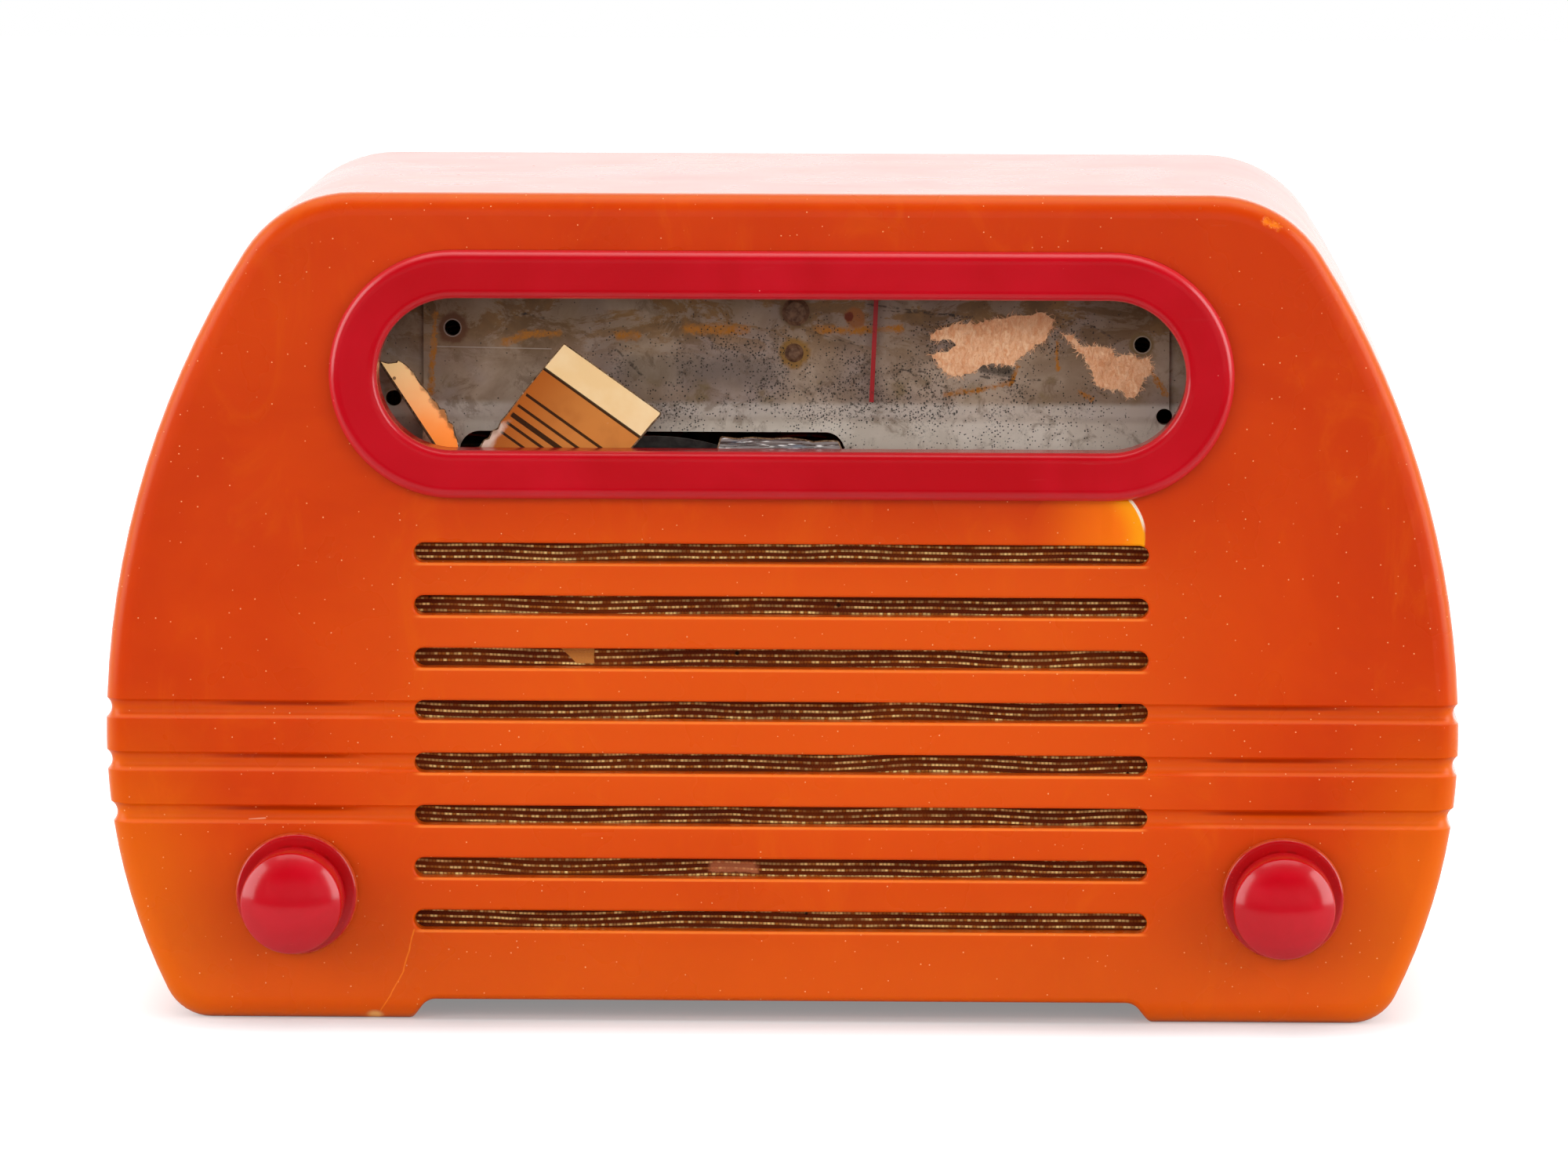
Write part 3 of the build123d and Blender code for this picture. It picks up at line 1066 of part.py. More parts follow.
stud_places = ((-PULLEY_SPREAD, pulley_z), (PULLEY_SPREAD, pulley_z))
stud_end = pulley_back + CORD_CLEARANCE
with BuildPart() as pulley_studs:
    with BuildSketch(front_plane(stud_end)):
        with Locations(*stud_places):
            Circle(STUD_RADIUS)
    extrude(amount=stud_end - bracket_back)
    with BuildSketch(front_plane(stud_end + STUD_HEAD)):
        with Locations(*stud_places):
            Circle(STUD_HEAD_RADIUS)
    extrude(amount=STUD_HEAD)
    with BuildSketch(front_plane(pulley_front - CORD_CLEARANCE)):
        with Locations(*stud_places):
            Circle(STUD_HEAD_RADIUS)
    extrude(amount=pulley_front - CORD_CLEARANCE - bracket_back)

# Dial cord: over both pulleys and under the tuning shaft clockwise, as the listener sees it, then round the
# drum the other way, which its negative radius says
cord_wheels = (
    (-PULLEY_SPREAD, pulley_z, PULLEY_RADIUS),
    (PULLEY_SPREAD, pulley_z, PULLEY_RADIUS),
    (tuning_x, KNOB_HEIGHT, shaft_pitch_radius),
    (gang_x, gang_z, -DRUM_RADIUS),
)


def tangent_angle(wheel, following):
    """The direction from a clockwise wheel's centre to where the cord leaves it for the following wheel."""
    span_x = following[0] - wheel[0]
    span_z = following[1] - wheel[1]
    lead = asin((wheel[2] - following[2]) / hypot(span_x, span_z))
    return degrees(atan2(span_z, span_x)) + 90 - degrees(lead)


leaving = [
    tangent_angle(wheel, cord_wheels[number + 1 - len(cord_wheels)])
    for number, wheel in enumerate(cord_wheels)
]
with BuildPart() as dial_cord:
    with BuildLine(front_plane(CORD_DEPTH)) as cord_route:
        drum_leaving = leaving[3] + 180
        drum_arriving = leaving[2] + 180
        drum_wrap = (drum_leaving - drum_arriving) % 360 - 2 * CORD_ANCHOR_GAP
        anchor_angle = drum_leaving - CORD_ANCHOR_GAP
        run_start = CenterArc((gang_x, gang_z), DRUM_RADIUS, anchor_angle, CORD_ANCHOR_GAP)
        for number, (wheel_x, wheel_z, wheel_radius) in enumerate(cord_wheels[:3]):
            wrap = (leaving[number - 1] - leaving[number]) % 360
            bend = CenterArc((wheel_x, wheel_z), wheel_radius, leaving[number - 1], -wrap)
            Line(run_start @ 1, bend @ 0)
            run_start = bend
        bend = CenterArc((gang_x, gang_z), DRUM_RADIUS, drum_arriving, drum_wrap)
        Line(run_start @ 1, bend @ 0)
    cord_path = cord_route.wire()
    cord_length = cord_path.length
    with BuildSketch(Plane(origin=cord_path @ 0, z_dir=cord_path % 0)):
        Circle(CORD_RADIUS)
    sweep(path=cord_path)

# Tuning shaft in its bushing, held by a clip; volume control with its own bushing; the nuts of both
nut_front = CHASSIS_FRONT_DEPTH - NUT_THICKNESS
bushing_front = apron_back - BUSHING_LENGTH
collar_back = apron_back + BUSHING_COLLAR
clip_front = collar_back + CLIP_CLEARANCE
tuning_shaft_end = clip_front + CLIP_THICKNESS + TUNING_SHAFT_TAIL
with BuildPart() as tuning_bushing:
    with BuildSketch(front_plane(apron_back)):
        with Locations((tuning_x, KNOB_HEIGHT)):
            Circle(BUSHING_RADIUS)
            Circle(SHAFT_RADIUS + RUNNING_CLEARANCE, mode=Mode.SUBTRACT)
    extrude(amount=BUSHING_LENGTH)
    with BuildSketch(front_plane(collar_back)):
        with Locations((tuning_x, KNOB_HEIGHT)):
            Circle(BUSHING_COLLAR_RADIUS)
            Circle(SHAFT_RADIUS + RUNNING_CLEARANCE, mode=Mode.SUBTRACT)
    extrude(amount=BUSHING_COLLAR)

with BuildPart() as tuning_shaft:
    with BuildSketch(front_plane(tuning_shaft_end)):
        with Locations((tuning_x, KNOB_HEIGHT)):
            Circle(SHAFT_RADIUS)
    extrude(amount=tuning_shaft_end - shaft_end)

with BuildPart() as tuning_clip:
    with BuildSketch(front_plane(clip_front + CLIP_THICKNESS)):
        with Locations((tuning_x, KNOB_HEIGHT)):
            Circle(CLIP_RADIUS)
            Circle(SHAFT_RADIUS, mode=Mode.SUBTRACT)
    extrude(amount=CLIP_THICKNESS)

volume_can_back = apron_back + VOLUME_CAN_DEPTH
volume_shaft_back = apron_back + VOLUME_SHAFT_SOCKET
with BuildPart() as volume_control:
    with BuildSketch(front_plane(volume_can_back)):
        with Locations((volume_x, KNOB_HEIGHT)):
            Circle(VOLUME_CAN_RADIUS)
    extrude(amount=VOLUME_CAN_DEPTH)
    with BuildSketch(front_plane(apron_back)):
        with Locations((volume_x, KNOB_HEIGHT)):
            Circle(BUSHING_RADIUS)
    extrude(amount=BUSHING_LENGTH)
    with BuildSketch(front_plane(volume_shaft_back + CLIP_CLEARANCE)):
        with Locations((volume_x, KNOB_HEIGHT)):
            Circle(SHAFT_RADIUS + RUNNING_CLEARANCE)
    extrude(amount=VOLUME_SHAFT_SOCKET + CLIP_CLEARANCE + BUSHING_LENGTH, mode=Mode.SUBTRACT)

with BuildPart() as volume_shaft:
    with BuildSketch(front_plane(volume_shaft_back)):
        with Locations((volume_x, KNOB_HEIGHT)):
            Circle(SHAFT_RADIUS)
    extrude(amount=volume_shaft_back - shaft_end)

with BuildPart() as control_nuts:
    with BuildSketch(front_plane(CHASSIS_FRONT_DEPTH)):
        with Locations(*control_places):
            RegularPolygon(NUT_RADIUS, 6)
            Circle(BUSHING_RADIUS, mode=Mode.SUBTRACT)
    extrude(amount=NUT_THICKNESS)

# Pilot lamp: a bayonet socket behind the left bracket, its bulb through the bracket beside the dial
lamp_z = dial_z + LAMP_RISE
bulb_centre = plate_back - LAMP_LENGTH + LAMP_GLASS_RADIUS
with BuildPart() as pilot_lamp_socket:
    with BuildSketch(front_plane(bracket_back + LAMP_SOCKET_LENGTH)):
        with Locations((lamp_x, lamp_z)):
            Circle(LAMP_SOCKET_RADIUS)
    extrude(amount=LAMP_SOCKET_LENGTH)

with BuildPart() as pilot_lamp_bulb:
    with BuildSketch(turning_plane(lamp_x, lamp_z)):
        with BuildLine():
            glass = CenterArc((0, bulb_centre), LAMP_GLASS_RADIUS, -90, 90)
            Polyline(
                glass @ 1,
                (LAMP_NECK_RADIUS, plate_back),
                (LAMP_NECK_RADIUS, bracket_back),
                (0, bracket_back),
                glass @ 0,
            )
        make_face()
    revolve(axis=turning_axis(lamp_x, lamp_z))

# Broken dial glass: two printed pieces and a clear one, leaning back from the front wall
fragment_outlines = {
    "scale_fragment_large": (
        LARGE_FRAGMENT_LEAN,
        ((-61.0, 0), (-62.6, 3.0), (-44.1, 25.6), (-24.3, 11.6), (-33.6, 0)),
    ),
    "scale_fragment_small": (
        SMALL_FRAGMENT_LEAN,
        ((-67.2, 0), (-82.0, 22.6), (-77.1, 22.0), (-71.9, 16.4), (-68.0, 8.6), (-63.6, 0)),
    ),
    "scale_fragment_clear": (
        CLEAR_FRAGMENT_LEAN,
        ((-14.4, 0), (-12.4, 6.9), (-2.0, 6.6), (11.4, 6.2), (13.6, 0)),
    ),
}
fragments = {}
for fragment_name, (lean, outline_points) in fragment_outlines.items():
    foot_depth = FRONT_WALL + GLASS_WEDGE_ROOM + GLASS_THICKNESS * cos(radians(lean))
    foot_z = board_top + GLASS_WEDGE_ROOM
    face_direction = (0, -cos(radians(lean)), sin(radians(lean)))
    glass_back = Plane(origin=(0, front_y + foot_depth, foot_z), x_dir=(1, 0, 0), z_dir=face_direction)
    with BuildPart() as fragment:
        with BuildSketch(glass_back):
            with BuildLine():
                Polyline(*outline_points, close=True)
            make_face()
        extrude(amount=GLASS_THICKNESS)
    fragments[fragment_name] = fragment

# Back panel in the cabinet's rebate: vents, screws, the loop aerial on its inside, the cord's grommet
panel_back = panel_seat_depth + PANEL_THICKNESS
with BuildPart() as back_panel:
    with BuildSketch(front_plane(panel_back)):
        add(cabinet_outline.sketch)
        offset(amount=-REBATE_WALL - PANEL_CLEARANCE)
        with Locations((0, FOOT_HEIGHT + REBATE_WALL + PANEL_CLEARANCE)):
            Rectangle(CABINET_WIDTH, CABINET_HEIGHT, align=(Align.CENTER, Align.MAX), mode=Mode.SUBTRACT)
        with Locations((0, VENT_CENTRE_RISE)):
            with GridLocations(VENT_PITCH, VENT_PITCH, VENT_COLUMNS, VENT_ROWS):
                Circle(VENT_RADIUS, mode=Mode.SUBTRACT)
        with Locations(*panel_screws_at):
            Circle(PANEL_SCREW_RADIUS + SCREW_CLEARANCE, mode=Mode.SUBTRACT)
        with Locations((GROMMET_OFFSET, GROMMET_RISE)):
            Circle(GROMMET_NECK_RADIUS, mode=Mode.SUBTRACT)
    extrude(amount=PANEL_THICKNESS)

with BuildPart() as back_panel_screws:
    with BuildSketch(front_plane(panel_back + PANEL_SCREW_HEAD)):
        with Locations(*panel_screws_at):
            Circle(PANEL_SCREW_HEAD_RADIUS)
    extrude(amount=PANEL_SCREW_HEAD)
    fillet(back_panel_screws.edges().group_by(Axis.Y)[-1], PANEL_SCREW_HEAD / 2)
    with BuildSketch(front_plane(panel_back + PANEL_SCREW_HEAD)):
        with Locations(*panel_screws_at):
            Rectangle(2 * PANEL_SCREW_HEAD_RADIUS, PANEL_SCREW_SLOT, rotation=PANEL_SCREW_TURN)
    extrude(amount=PANEL_SCREW_HEAD / 2, mode=Mode.SUBTRACT)
    with BuildSketch(front_plane(panel_back)):
        with Locations(*panel_screws_at):
            Circle(PANEL_SCREW_RADIUS)
    extrude(amount=PANEL_SCREW_LENGTH)

with BuildPart() as loop_antenna:
    with BuildSketch(front_plane(panel_seat_depth)):
        with Locations((0, LOOP_CENTRE_RISE)):
            RectangleRounded(LOOP_WIDTH, LOOP_HEIGHT, LOOP_CORNER_RADIUS)
            RectangleRounded(
                LOOP_WIDTH - 2 * LOOP_BAND,
                LOOP_HEIGHT - 2 * LOOP_BAND,
                LOOP_CORNER_RADIUS - LOOP_BAND,
                mode=Mode.SUBTRACT,
            )
    extrude(amount=LOOP_THICKNESS)

with BuildPart() as cord_grommet:
    with BuildSketch(turning_plane(GROMMET_OFFSET, GROMMET_RISE)):
        with BuildLine():
            Polyline(
                (GROMMET_BORE_RADIUS, panel_seat_depth - GROMMET_LIP),
                (GROMMET_LIP_RADIUS, panel_seat_depth - GROMMET_LIP),
                (GROMMET_LIP_RADIUS, panel_seat_depth),
                (GROMMET_NECK_RADIUS, panel_seat_depth),
                (GROMMET_NECK_RADIUS, panel_back),
                (GROMMET_LIP_RADIUS, panel_back),
                (GROMMET_LIP_RADIUS, panel_back + GROMMET_LIP),
                (GROMMET_BORE_RADIUS, panel_back + GROMMET_LIP),
                close=True,
            )
        make_face()
    revolve(axis=turning_axis(GROMMET_OFFSET, GROMMET_RISE))

pieces = {
    "cabinet": cabinet,
    "dial_bezel": dial_bezel,
    "grille_cloth": grille_cloth,
    "baffle_board": baffle_board,
    "baffle_push_nuts": baffle_push_nuts,
    "speaker_frame": speaker_frame,
    "speaker_screws": speaker_screws,
    "speaker_cone": speaker_cone,
    "voice_coil": voice_coil,
    "speaker_magnet": speaker_magnet,
    "chassis": chassis,
    "chassis_screws": chassis_screws,
    "tube_sockets": tube_sockets,
    "tube_bases": tube_bases,
    "tube_envelopes": tube_envelopes,
    "if_cans": if_cans,
    "filter_capacitor": filter_capacitor,
    "output_transformer_core": output_transformer_core,
    "output_transformer_coil": output_transformer_coil,
    "paper_capacitors": paper_capacitors,
    "resistors": resistors,
    "gang_frame": gang_frame,
    "gang_stator": gang_stator,
    "gang_rotor": gang_rotor,
    "dial_drum": dial_drum,
    "bracket_screws": bracket_screws,
    "dial_plate": dial_plate,
    "dial_stiffener": dial_stiffener,
    "dial_rivets": dial_rivets,
    "felt_scraps": felt_scraps,
    "pointer_needle": pointer_needle,
    "pointer_carriage": pointer_carriage,
    "pulley_studs": pulley_studs,
    "dial_cord": dial_cord,
    "tuning_bushing": tuning_bushing,
    "tuning_shaft": tuning_shaft,
    "tuning_clip": tuning_clip,
    "volume_control": volume_control,
    "volume_shaft": volume_shaft,
    "control_nuts": control_nuts,
    "pilot_lamp_socket": pilot_lamp_socket,
    "pilot_lamp_bulb": pilot_lamp_bulb,
    "back_panel": back_panel,
    "back_panel_screws": back_panel_screws,
    "loop_antenna": loop_antenna,
    "cord_grommet": cord_grommet,
    **knobs,
    **brackets,
    **pulleys,
    **fragments,
}
os.makedirs("parts", exist_ok=True)
for name, piece in pieces.items():
    piece.part.label = name
    export_step(piece.part, f"parts/{name}.step")

cord_section_volume = Circle(CORD_RADIUS, mode=Mode.PRIVATE).area * cord_length
print("dial cord length", round(cord_length, 1))
print("volume over section times length", round(dial_cord.part.volume / cord_section_volume, 4))
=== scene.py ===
import bpy
import random
from math import cos, pi, radians, sin
from mathutils import Matrix, Vector, noise


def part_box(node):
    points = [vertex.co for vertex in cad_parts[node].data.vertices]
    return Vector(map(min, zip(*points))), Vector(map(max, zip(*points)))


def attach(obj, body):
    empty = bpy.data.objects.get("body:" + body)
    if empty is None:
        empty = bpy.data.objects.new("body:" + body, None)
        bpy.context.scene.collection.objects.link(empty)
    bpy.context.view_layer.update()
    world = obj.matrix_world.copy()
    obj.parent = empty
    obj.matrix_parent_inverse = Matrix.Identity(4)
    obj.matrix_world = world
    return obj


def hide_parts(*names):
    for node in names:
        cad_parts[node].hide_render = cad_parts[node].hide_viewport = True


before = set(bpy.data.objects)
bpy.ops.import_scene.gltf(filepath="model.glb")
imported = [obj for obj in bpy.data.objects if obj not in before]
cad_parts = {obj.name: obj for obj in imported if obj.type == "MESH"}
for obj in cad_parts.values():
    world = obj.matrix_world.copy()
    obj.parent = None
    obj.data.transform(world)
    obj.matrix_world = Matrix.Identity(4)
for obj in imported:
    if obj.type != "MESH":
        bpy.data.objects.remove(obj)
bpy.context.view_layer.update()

# Cabinet: one thick casting of translucent phenolic resin, cured in a lead mould and polished by hand.
# The orange is mottled; painted light makes it more amber towards the bottom and at the thin lower ends,
# paler round the rounded front rim and across the middle of the front, and bright amber at the break.
# The bar under the dial is broken at its right end, a hairline crack runs down to the left foot,
# and old dust lies on every face.


class Wire:
    """One output of a material's nodes. Arithmetic on wires adds Math nodes to that material."""

    def __init__(self, tree, socket=None):
        self.tree = tree
        self.socket = socket

    def plug(self, socket, value):
        if isinstance(value, Wire):
            self.tree.links.new(value.socket, socket)
        else:
            socket.default_value = value

    def node(self, kind, settings={}, values={}, output=0):
        """Adds a node with its settings, then the values or links of its sockets, and gives one output."""
        made = self.tree.nodes.new(kind)
        for name, value in settings.items():
            setattr(made, name, value)
        for name, value in values.items():
            self.plug(made.inputs[name], value)
        return Wire(self.tree, made.outputs[output])

    def math(self, operation, *values):
        return self.node("ShaderNodeMath", {"operation": operation}, dict(enumerate(values)))

    def __add__(self, other):
        return self.math("ADD", self, other)

    def __radd__(self, other):
        return self.math("ADD", other, self)

    def __sub__(self, other):
        return self.math("SUBTRACT", self, other)

    def __rsub__(self, other):
        return self.math("SUBTRACT", other, self)

    def __mul__(self, other):
        return self.math("MULTIPLY", self, other)

    def __rmul__(self, other):
        return self.math("MULTIPLY", other, self)

    def __truediv__(self, other):
        return self.math("DIVIDE", self, other)

    def __pow__(self, other):
        return self.math("POWER", self, other)

    def __abs__(self):
        return self.math("ABSOLUTE", self)


def new_finish(name):
    """A material, its shader, and the piece's own coordinates in millimetres as a vector and as x, y, z."""
    material = bpy.data.materials.new(name)
    material.use_nodes = True
    tree = material.node_tree
    shader = tree.nodes["Principled BSDF"]
    metres = Wire(tree).node("ShaderNodeTexCoord", output="Object")
    place = metres.node("ShaderNodeVectorMath", {"operation": "SCALE"}, {0: metres, "Scale": 1000.0})
    axes = [place.node("ShaderNodeSeparateXYZ", values={0: place}, output=axis) for axis in range(3)]
    return material, shader, place, *axes


def finish_with(shader, **values):
    """Sets the shader's sockets; a name's underscores stand for spaces."""
    wire = Wire(shader.id_data)
    for name, value in values.items():
        wire.plug(shader.inputs[name.replace("_", " ")], value)


def stretched(place, x=1.0, y=1.0, z=1.0):
    """The coordinates multiplied along each axis, to draw a pattern out or press it together."""
    return place.node("ShaderNodeVectorMath", {"operation": "MULTIPLY"}, {0: place, 1: (x, y, z)})


def cloud(place, size, detail=3.0, roughness=0.55, distortion=0.0):
    """Cloudy variation with lumps about this many millimetres across, from 0 to 1."""
    values = {"Vector": place, "Scale": 1 / size, "Detail": detail, "Roughness": roughness}
    values["Distortion"] = distortion
    return place.node("ShaderNodeTexNoise", values=values)


def specks(place, spacing, radius):
    """Small round spots, about one to each cell of this many millimetres, of uneven size."""
    settings = {"feature": "F1"}
    values = {"Vector": place, "Scale": 1 / spacing}
    distance = place.node("ShaderNodeTexVoronoi", settings, values) * spacing
    chance = place.node("ShaderNodeTexVoronoi", settings, values, output="Color")
    keep = place.node("ShaderNodeSeparateColor", values={0: chance})
    return rise(distance, radius, radius * 0.55) * rise(keep, 0.35, 0.75)


def rise(value, low, high):
    """From 0 at low to 1 at high, smooth between; it falls instead where low is above high."""
    settings = {"interpolation_type": "SMOOTHSTEP"}
    return value.node("ShaderNodeMapRange", settings, {"Value": value, "From Min": low, "From Max": high})


def layer(mask, under, over):
    """The colour over laid on the colour under where the mask is 1."""
    return mask.node("ShaderNodeMix", {"data_type": "RGBA"}, {0: mask, 6: under, 7: over}, output=2)


def relief(height, depth, strength=1.0):
    """A normal for bumps of this depth in millimetres where the height goes from 0 to 1."""
    values = {"Height": height, "Distance": depth / 1000, "Strength": strength}
    return height.node("ShaderNodeBump", values=values)


def from_point(x, z, centre):
    """Distance in millimetres from a point of the front."""
    across, upward = x - centre[0], z - centre[1]
    return (across * across + upward * upward) ** 0.5


def from_stroke(x, z, start, end):
    """Distance in millimetres from a straight stroke across the front."""
    run = Vector(end) - Vector(start)
    length = run.length
    run.normalize()
    along = (x - start[0]) * run.x + (z - start[1]) * run.y
    along = along.math("MINIMUM", along.math("MAXIMUM", along, 0.0), length)
    across, upward = x - start[0] - along * run.x, z - start[1] - along * run.y
    return (across * across + upward * upward) ** 0.5


def coat_nodes(material, *names):
    """Gives CAD nodes this material."""
    for name in names:
        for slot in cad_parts[name].material_slots:
            slot.material = material


def rgb(red, green, blue):
    """A colour given in screen values from 0 to 255, as the shader's linear colour."""
    shares = [value / 255 for value in (red, green, blue)]
    linear = [((share + 0.055) / 1.055) ** 2.4 if share > 0.04045 else share / 12.92 for share in shares]
    return (*linear, 1.0)


TOP_SLOT, SLOT_PITCH = 95.0, 10.647
GROOVE_HEIGHTS = (63.06, 52.41, 41.76)
BAR_FOOT, BAR_TOP = 94.6, 106.6
BREAK_CENTRE, BREAK_RADIUS = (61.5, 98.5), 11.6
CRACK_X, CRACK_BEND, CRACK_TOP = -76.1, 9.8, 18.9
FOOT_CHIP = (-82.0, 1.5)
TOP_CHIP = ((97.0, 162.4), (99.5, 161.1))
SCRAPE = ((-107.4, 40.7), (-104.1, 40.9))
resin, shader, place, x, y, z = new_finish("orange_cast_resin")
mottle = cloud(place, 55.0, 4.0, 0.6, 0.6)
veins = cloud(stretched(place, 1.0, 1.0, 0.45), 16.0, 5.0, 0.62, 1.2)
colour = layer(rise(mottle, 0.3, 0.72), rgb(198, 54, 0), rgb(209, 64, 0))
# Painted reflection: the middle of the front is painted paler and more yellow, where the table in front is
# mirrored.
middle = rise(abs(x), 112.0, 50.0) * rise(z, 22.0, 52.0) * rise(z, 112.0, 84.0)
colour = layer(middle * 0.75, colour, rgb(226, 88, 12))
colour = layer(rise(veins, 0.52, 0.8) * 0.35, colour, rgb(226, 98, 2))
# Painted light: more amber towards the bottom, for the light the floor throws up into the resin.
colour = layer(rise(z, 46.0, 4.0) * 0.6, colour, rgb(218, 94, 0))
# Painted light: the thin lower ends of the sides glow amber, as if lit through.
painted_glow_ends = rise(abs(x), 104.0, 134.0) * rise(z, 74.0, 28.0)
colour = layer(painted_glow_ends * 0.6, colour, rgb(232, 112, 0))
front = rise(y, -56.5, -58.5)
# Painted highlight: the rounded rim between the front and the sides is painted lighter amber.
painted_rim_highlight = rise(y, -58.6, -56.4) * rise(y, -50.0, -54.0)
colour = layer(painted_rim_highlight * 0.5, colour, rgb(236, 116, 14))
past_break = from_point(x, z, BREAK_CENTRE) - BREAK_RADIUS
on_bar = front * rise(z, BAR_FOOT, BAR_FOOT + 0.8) * rise(z, BAR_TOP, BAR_TOP - 0.7)
break_zone = on_bar * rise(x, 64.0, 67.0)
bar_end = on_bar * rise(past_break, 0.2, -0.05) * rise(x, 40.0, 60.0)
# Painted light: the broken end of the bar is painted bright amber, brightest next to the break, as if lit
# through.
colour = layer(rise(x, 46.0, 72.0) * bar_end * 0.85, colour, rgb(255, 124, 2))
colour = layer(rise(past_break, -5.5, -0.2) * rise(x, 63.0, 69.0) * bar_end * 0.9, colour, rgb(255, 160, 2))
# Painted highlight: a pale line along the top of the break.
painted_break_highlight = rise(abs(past_break), 0.42, 0.12) * rise(z, 99.5, 102.5) * break_zone
colour = layer(painted_break_highlight, colour, rgb(255, 236, 214))
wander = (cloud(place, 4.0, 2.0) - 0.5) * 0.9
crack_upper = CRACK_X + (z - CRACK_BEND) * 0.24
crack_lower = CRACK_X + (z - CRACK_BEND) * 0.6
crack_edge = rise(z, 9.0, 10.6) * (crack_upper - crack_lower) + crack_lower + wander
crack = rise(abs(x - crack_edge), 0.24, 0.06) * rise(z, CRACK_TOP, CRACK_TOP - 0.7) * front
colour = layer(crack * 0.45, colour, rgb(255, 146, 40))
chip_foot = rise(from_point(x, z * 1.7, FOOT_CHIP) + wander * 0.6, 2.2, 0.6) * rise(y, -52.0, -56.0)
chip_edge = wander * 1.6 + (cloud(place, 1.1, 3.0) - 0.5) * 1.6
chip_top = rise(from_stroke(x, z, *TOP_CHIP) + chip_edge, 1.2, 0.1) * rise(y, -53.0, -55.0)
colour = layer(chip_foot, colour, rgb(255, 186, 104))
colour = layer(chip_top * 0.65, colour, rgb(255, 142, 26))
beyond_slots = rise(abs(x), 78.0, 86.0) * front
mid_groove = rise(abs(x), 82.0, 92.0) * rise(abs(x), 119.0, 106.0)
# Painted shade along the upper edge of each groove, and a painted highlight along its lower edge.
for groove_z in GROOVE_HEIGHTS:
    painted_groove_shade = rise(abs(z - groove_z - 1.2), 0.7, 0.15) * mid_groove
    painted_groove_highlight = rise(abs(z - groove_z + 1.5), 0.5, 0.15) * beyond_slots
    colour = layer(painted_groove_shade * 0.75, colour, rgb(150, 34, 0))
    colour = layer(painted_groove_highlight * 0.35, colour, rgb(246, 124, 62))
below_slot = (TOP_SLOT - z) / SLOT_PITCH + 0.5
below_slot = (below_slot - below_slot.math("FLOOR", below_slot) - 0.5) * SLOT_PITCH
# Painted highlight: a light line along the lower edge of each slot.
painted_slot_highlight = rise(abs(below_slot - 2.3), 0.4, 0.12) * rise(abs(x), 74.5, 72.5)
painted_slot_highlight = painted_slot_highlight * rise(z, 16.0, 17.5) * rise(z, 96.0, 94.0) * rise(y, -57.0, -58.2)
colour = layer(painted_slot_highlight * 0.6, colour, rgb(252, 136, 52))
scrape = rise(from_stroke(x, z, *SCRAPE) + wander * 0.3, 0.16, 0.04) * front
colour = layer(scrape * 0.6, colour, rgb(248, 186, 150))
dust = specks(place, 1.7, 0.17)
grit = specks(stretched(place, 1.0, 0.7, 1.0), 13.0, 0.42)
on_top = rise(z, 160.0, 166.5)
colour = layer(dust * 0.8, colour, rgb(255, 190, 132))
colour = layer(grit * on_top, colour, rgb(120, 62, 30))
streaks = cloud(stretched(place, 0.12, 1.0, 1.0), 2.6, 3.0)
scuffs = rise(streaks, 0.66, 0.8) * rise(cloud(place, 30.0), 0.5, 0.7)
gloss = 0.24 + cloud(place, 22.0) * 0.08 + scuffs * 0.1 + (dust + grit * on_top) * 0.35
step = rise(past_break, 0.12, -0.12) * break_zone
surface = step * 0.5 + veins * 0.05 - crack * 0.06 + dust * 0.05 - scuffs * 0.008
surface = surface - (chip_foot + chip_top) * 0.3
finish_with(shader, Base_Color=colour, Roughness=gloss, Normal=relief(surface, 1.0, 0.8), IOR=1.52)
finish_with(shader, Specular_IOR_Level=0.18)
finish_with(shader, Subsurface_Weight=0.2, Subsurface_Radius=(1.0, 0.28, 0.04), Subsurface_Scale=0.006)
coat_nodes(resin, "cabinet")

# Dial bezel: a red ring of the same kind of resin, cast and turned to a soft edge all round.
# Its spigot plugs into the cabinet's dial opening; handling has left fine scratches and dust on it.
red_resin, shader, place, x, y, z = new_finish("red_cast_resin")
mottle = cloud(place, 34.0, 4.0, 0.6, 0.5)
colour = layer(rise(mottle, 0.3, 0.75), rgb(182, 0, 14), rgb(197, 0, 24))
dust = specks(place, 4.2, 0.16)
streaks = cloud(stretched(place, 0.1, 1.0, 1.0), 1.6, 2.0)
hairlines = rise(streaks, 0.68, 0.78) * rise(cloud(place, 26.0), 0.5, 0.66)
colour = layer(dust * 0.55, colour, rgb(255, 170, 150))
colour = layer(hairlines * 0.25, colour, rgb(228, 84, 84))
bezel_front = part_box("dial_bezel")[0].y * 1000
# Painted reflection: the bezel's rounded rim is painted paler pink, and made a little rougher.
painted_rim_reflection = rise(y, bezel_front + 0.25, bezel_front + 0.9) * rise(y, bezel_front + 3.0, bezel_front + 2.0)
colour = layer(painted_rim_reflection * 0.4, colour, rgb(226, 60, 66))
gloss = 0.17 + painted_rim_reflection * 0.06 + mottle * 0.06 + hairlines * 0.12 + dust * 0.3
surface = mottle * 0.02 + dust * 0.05 - hairlines * 0.01
finish_with(shader, Base_Color=colour, Roughness=gloss, Normal=relief(surface, 1.0, 0.7), IOR=1.52)
finish_with(shader, Subsurface_Weight=0.1, Subsurface_Radius=(1.0, 0.1, 0.06), Subsurface_Scale=0.003)
coat_nodes(red_resin, "dial_bezel")

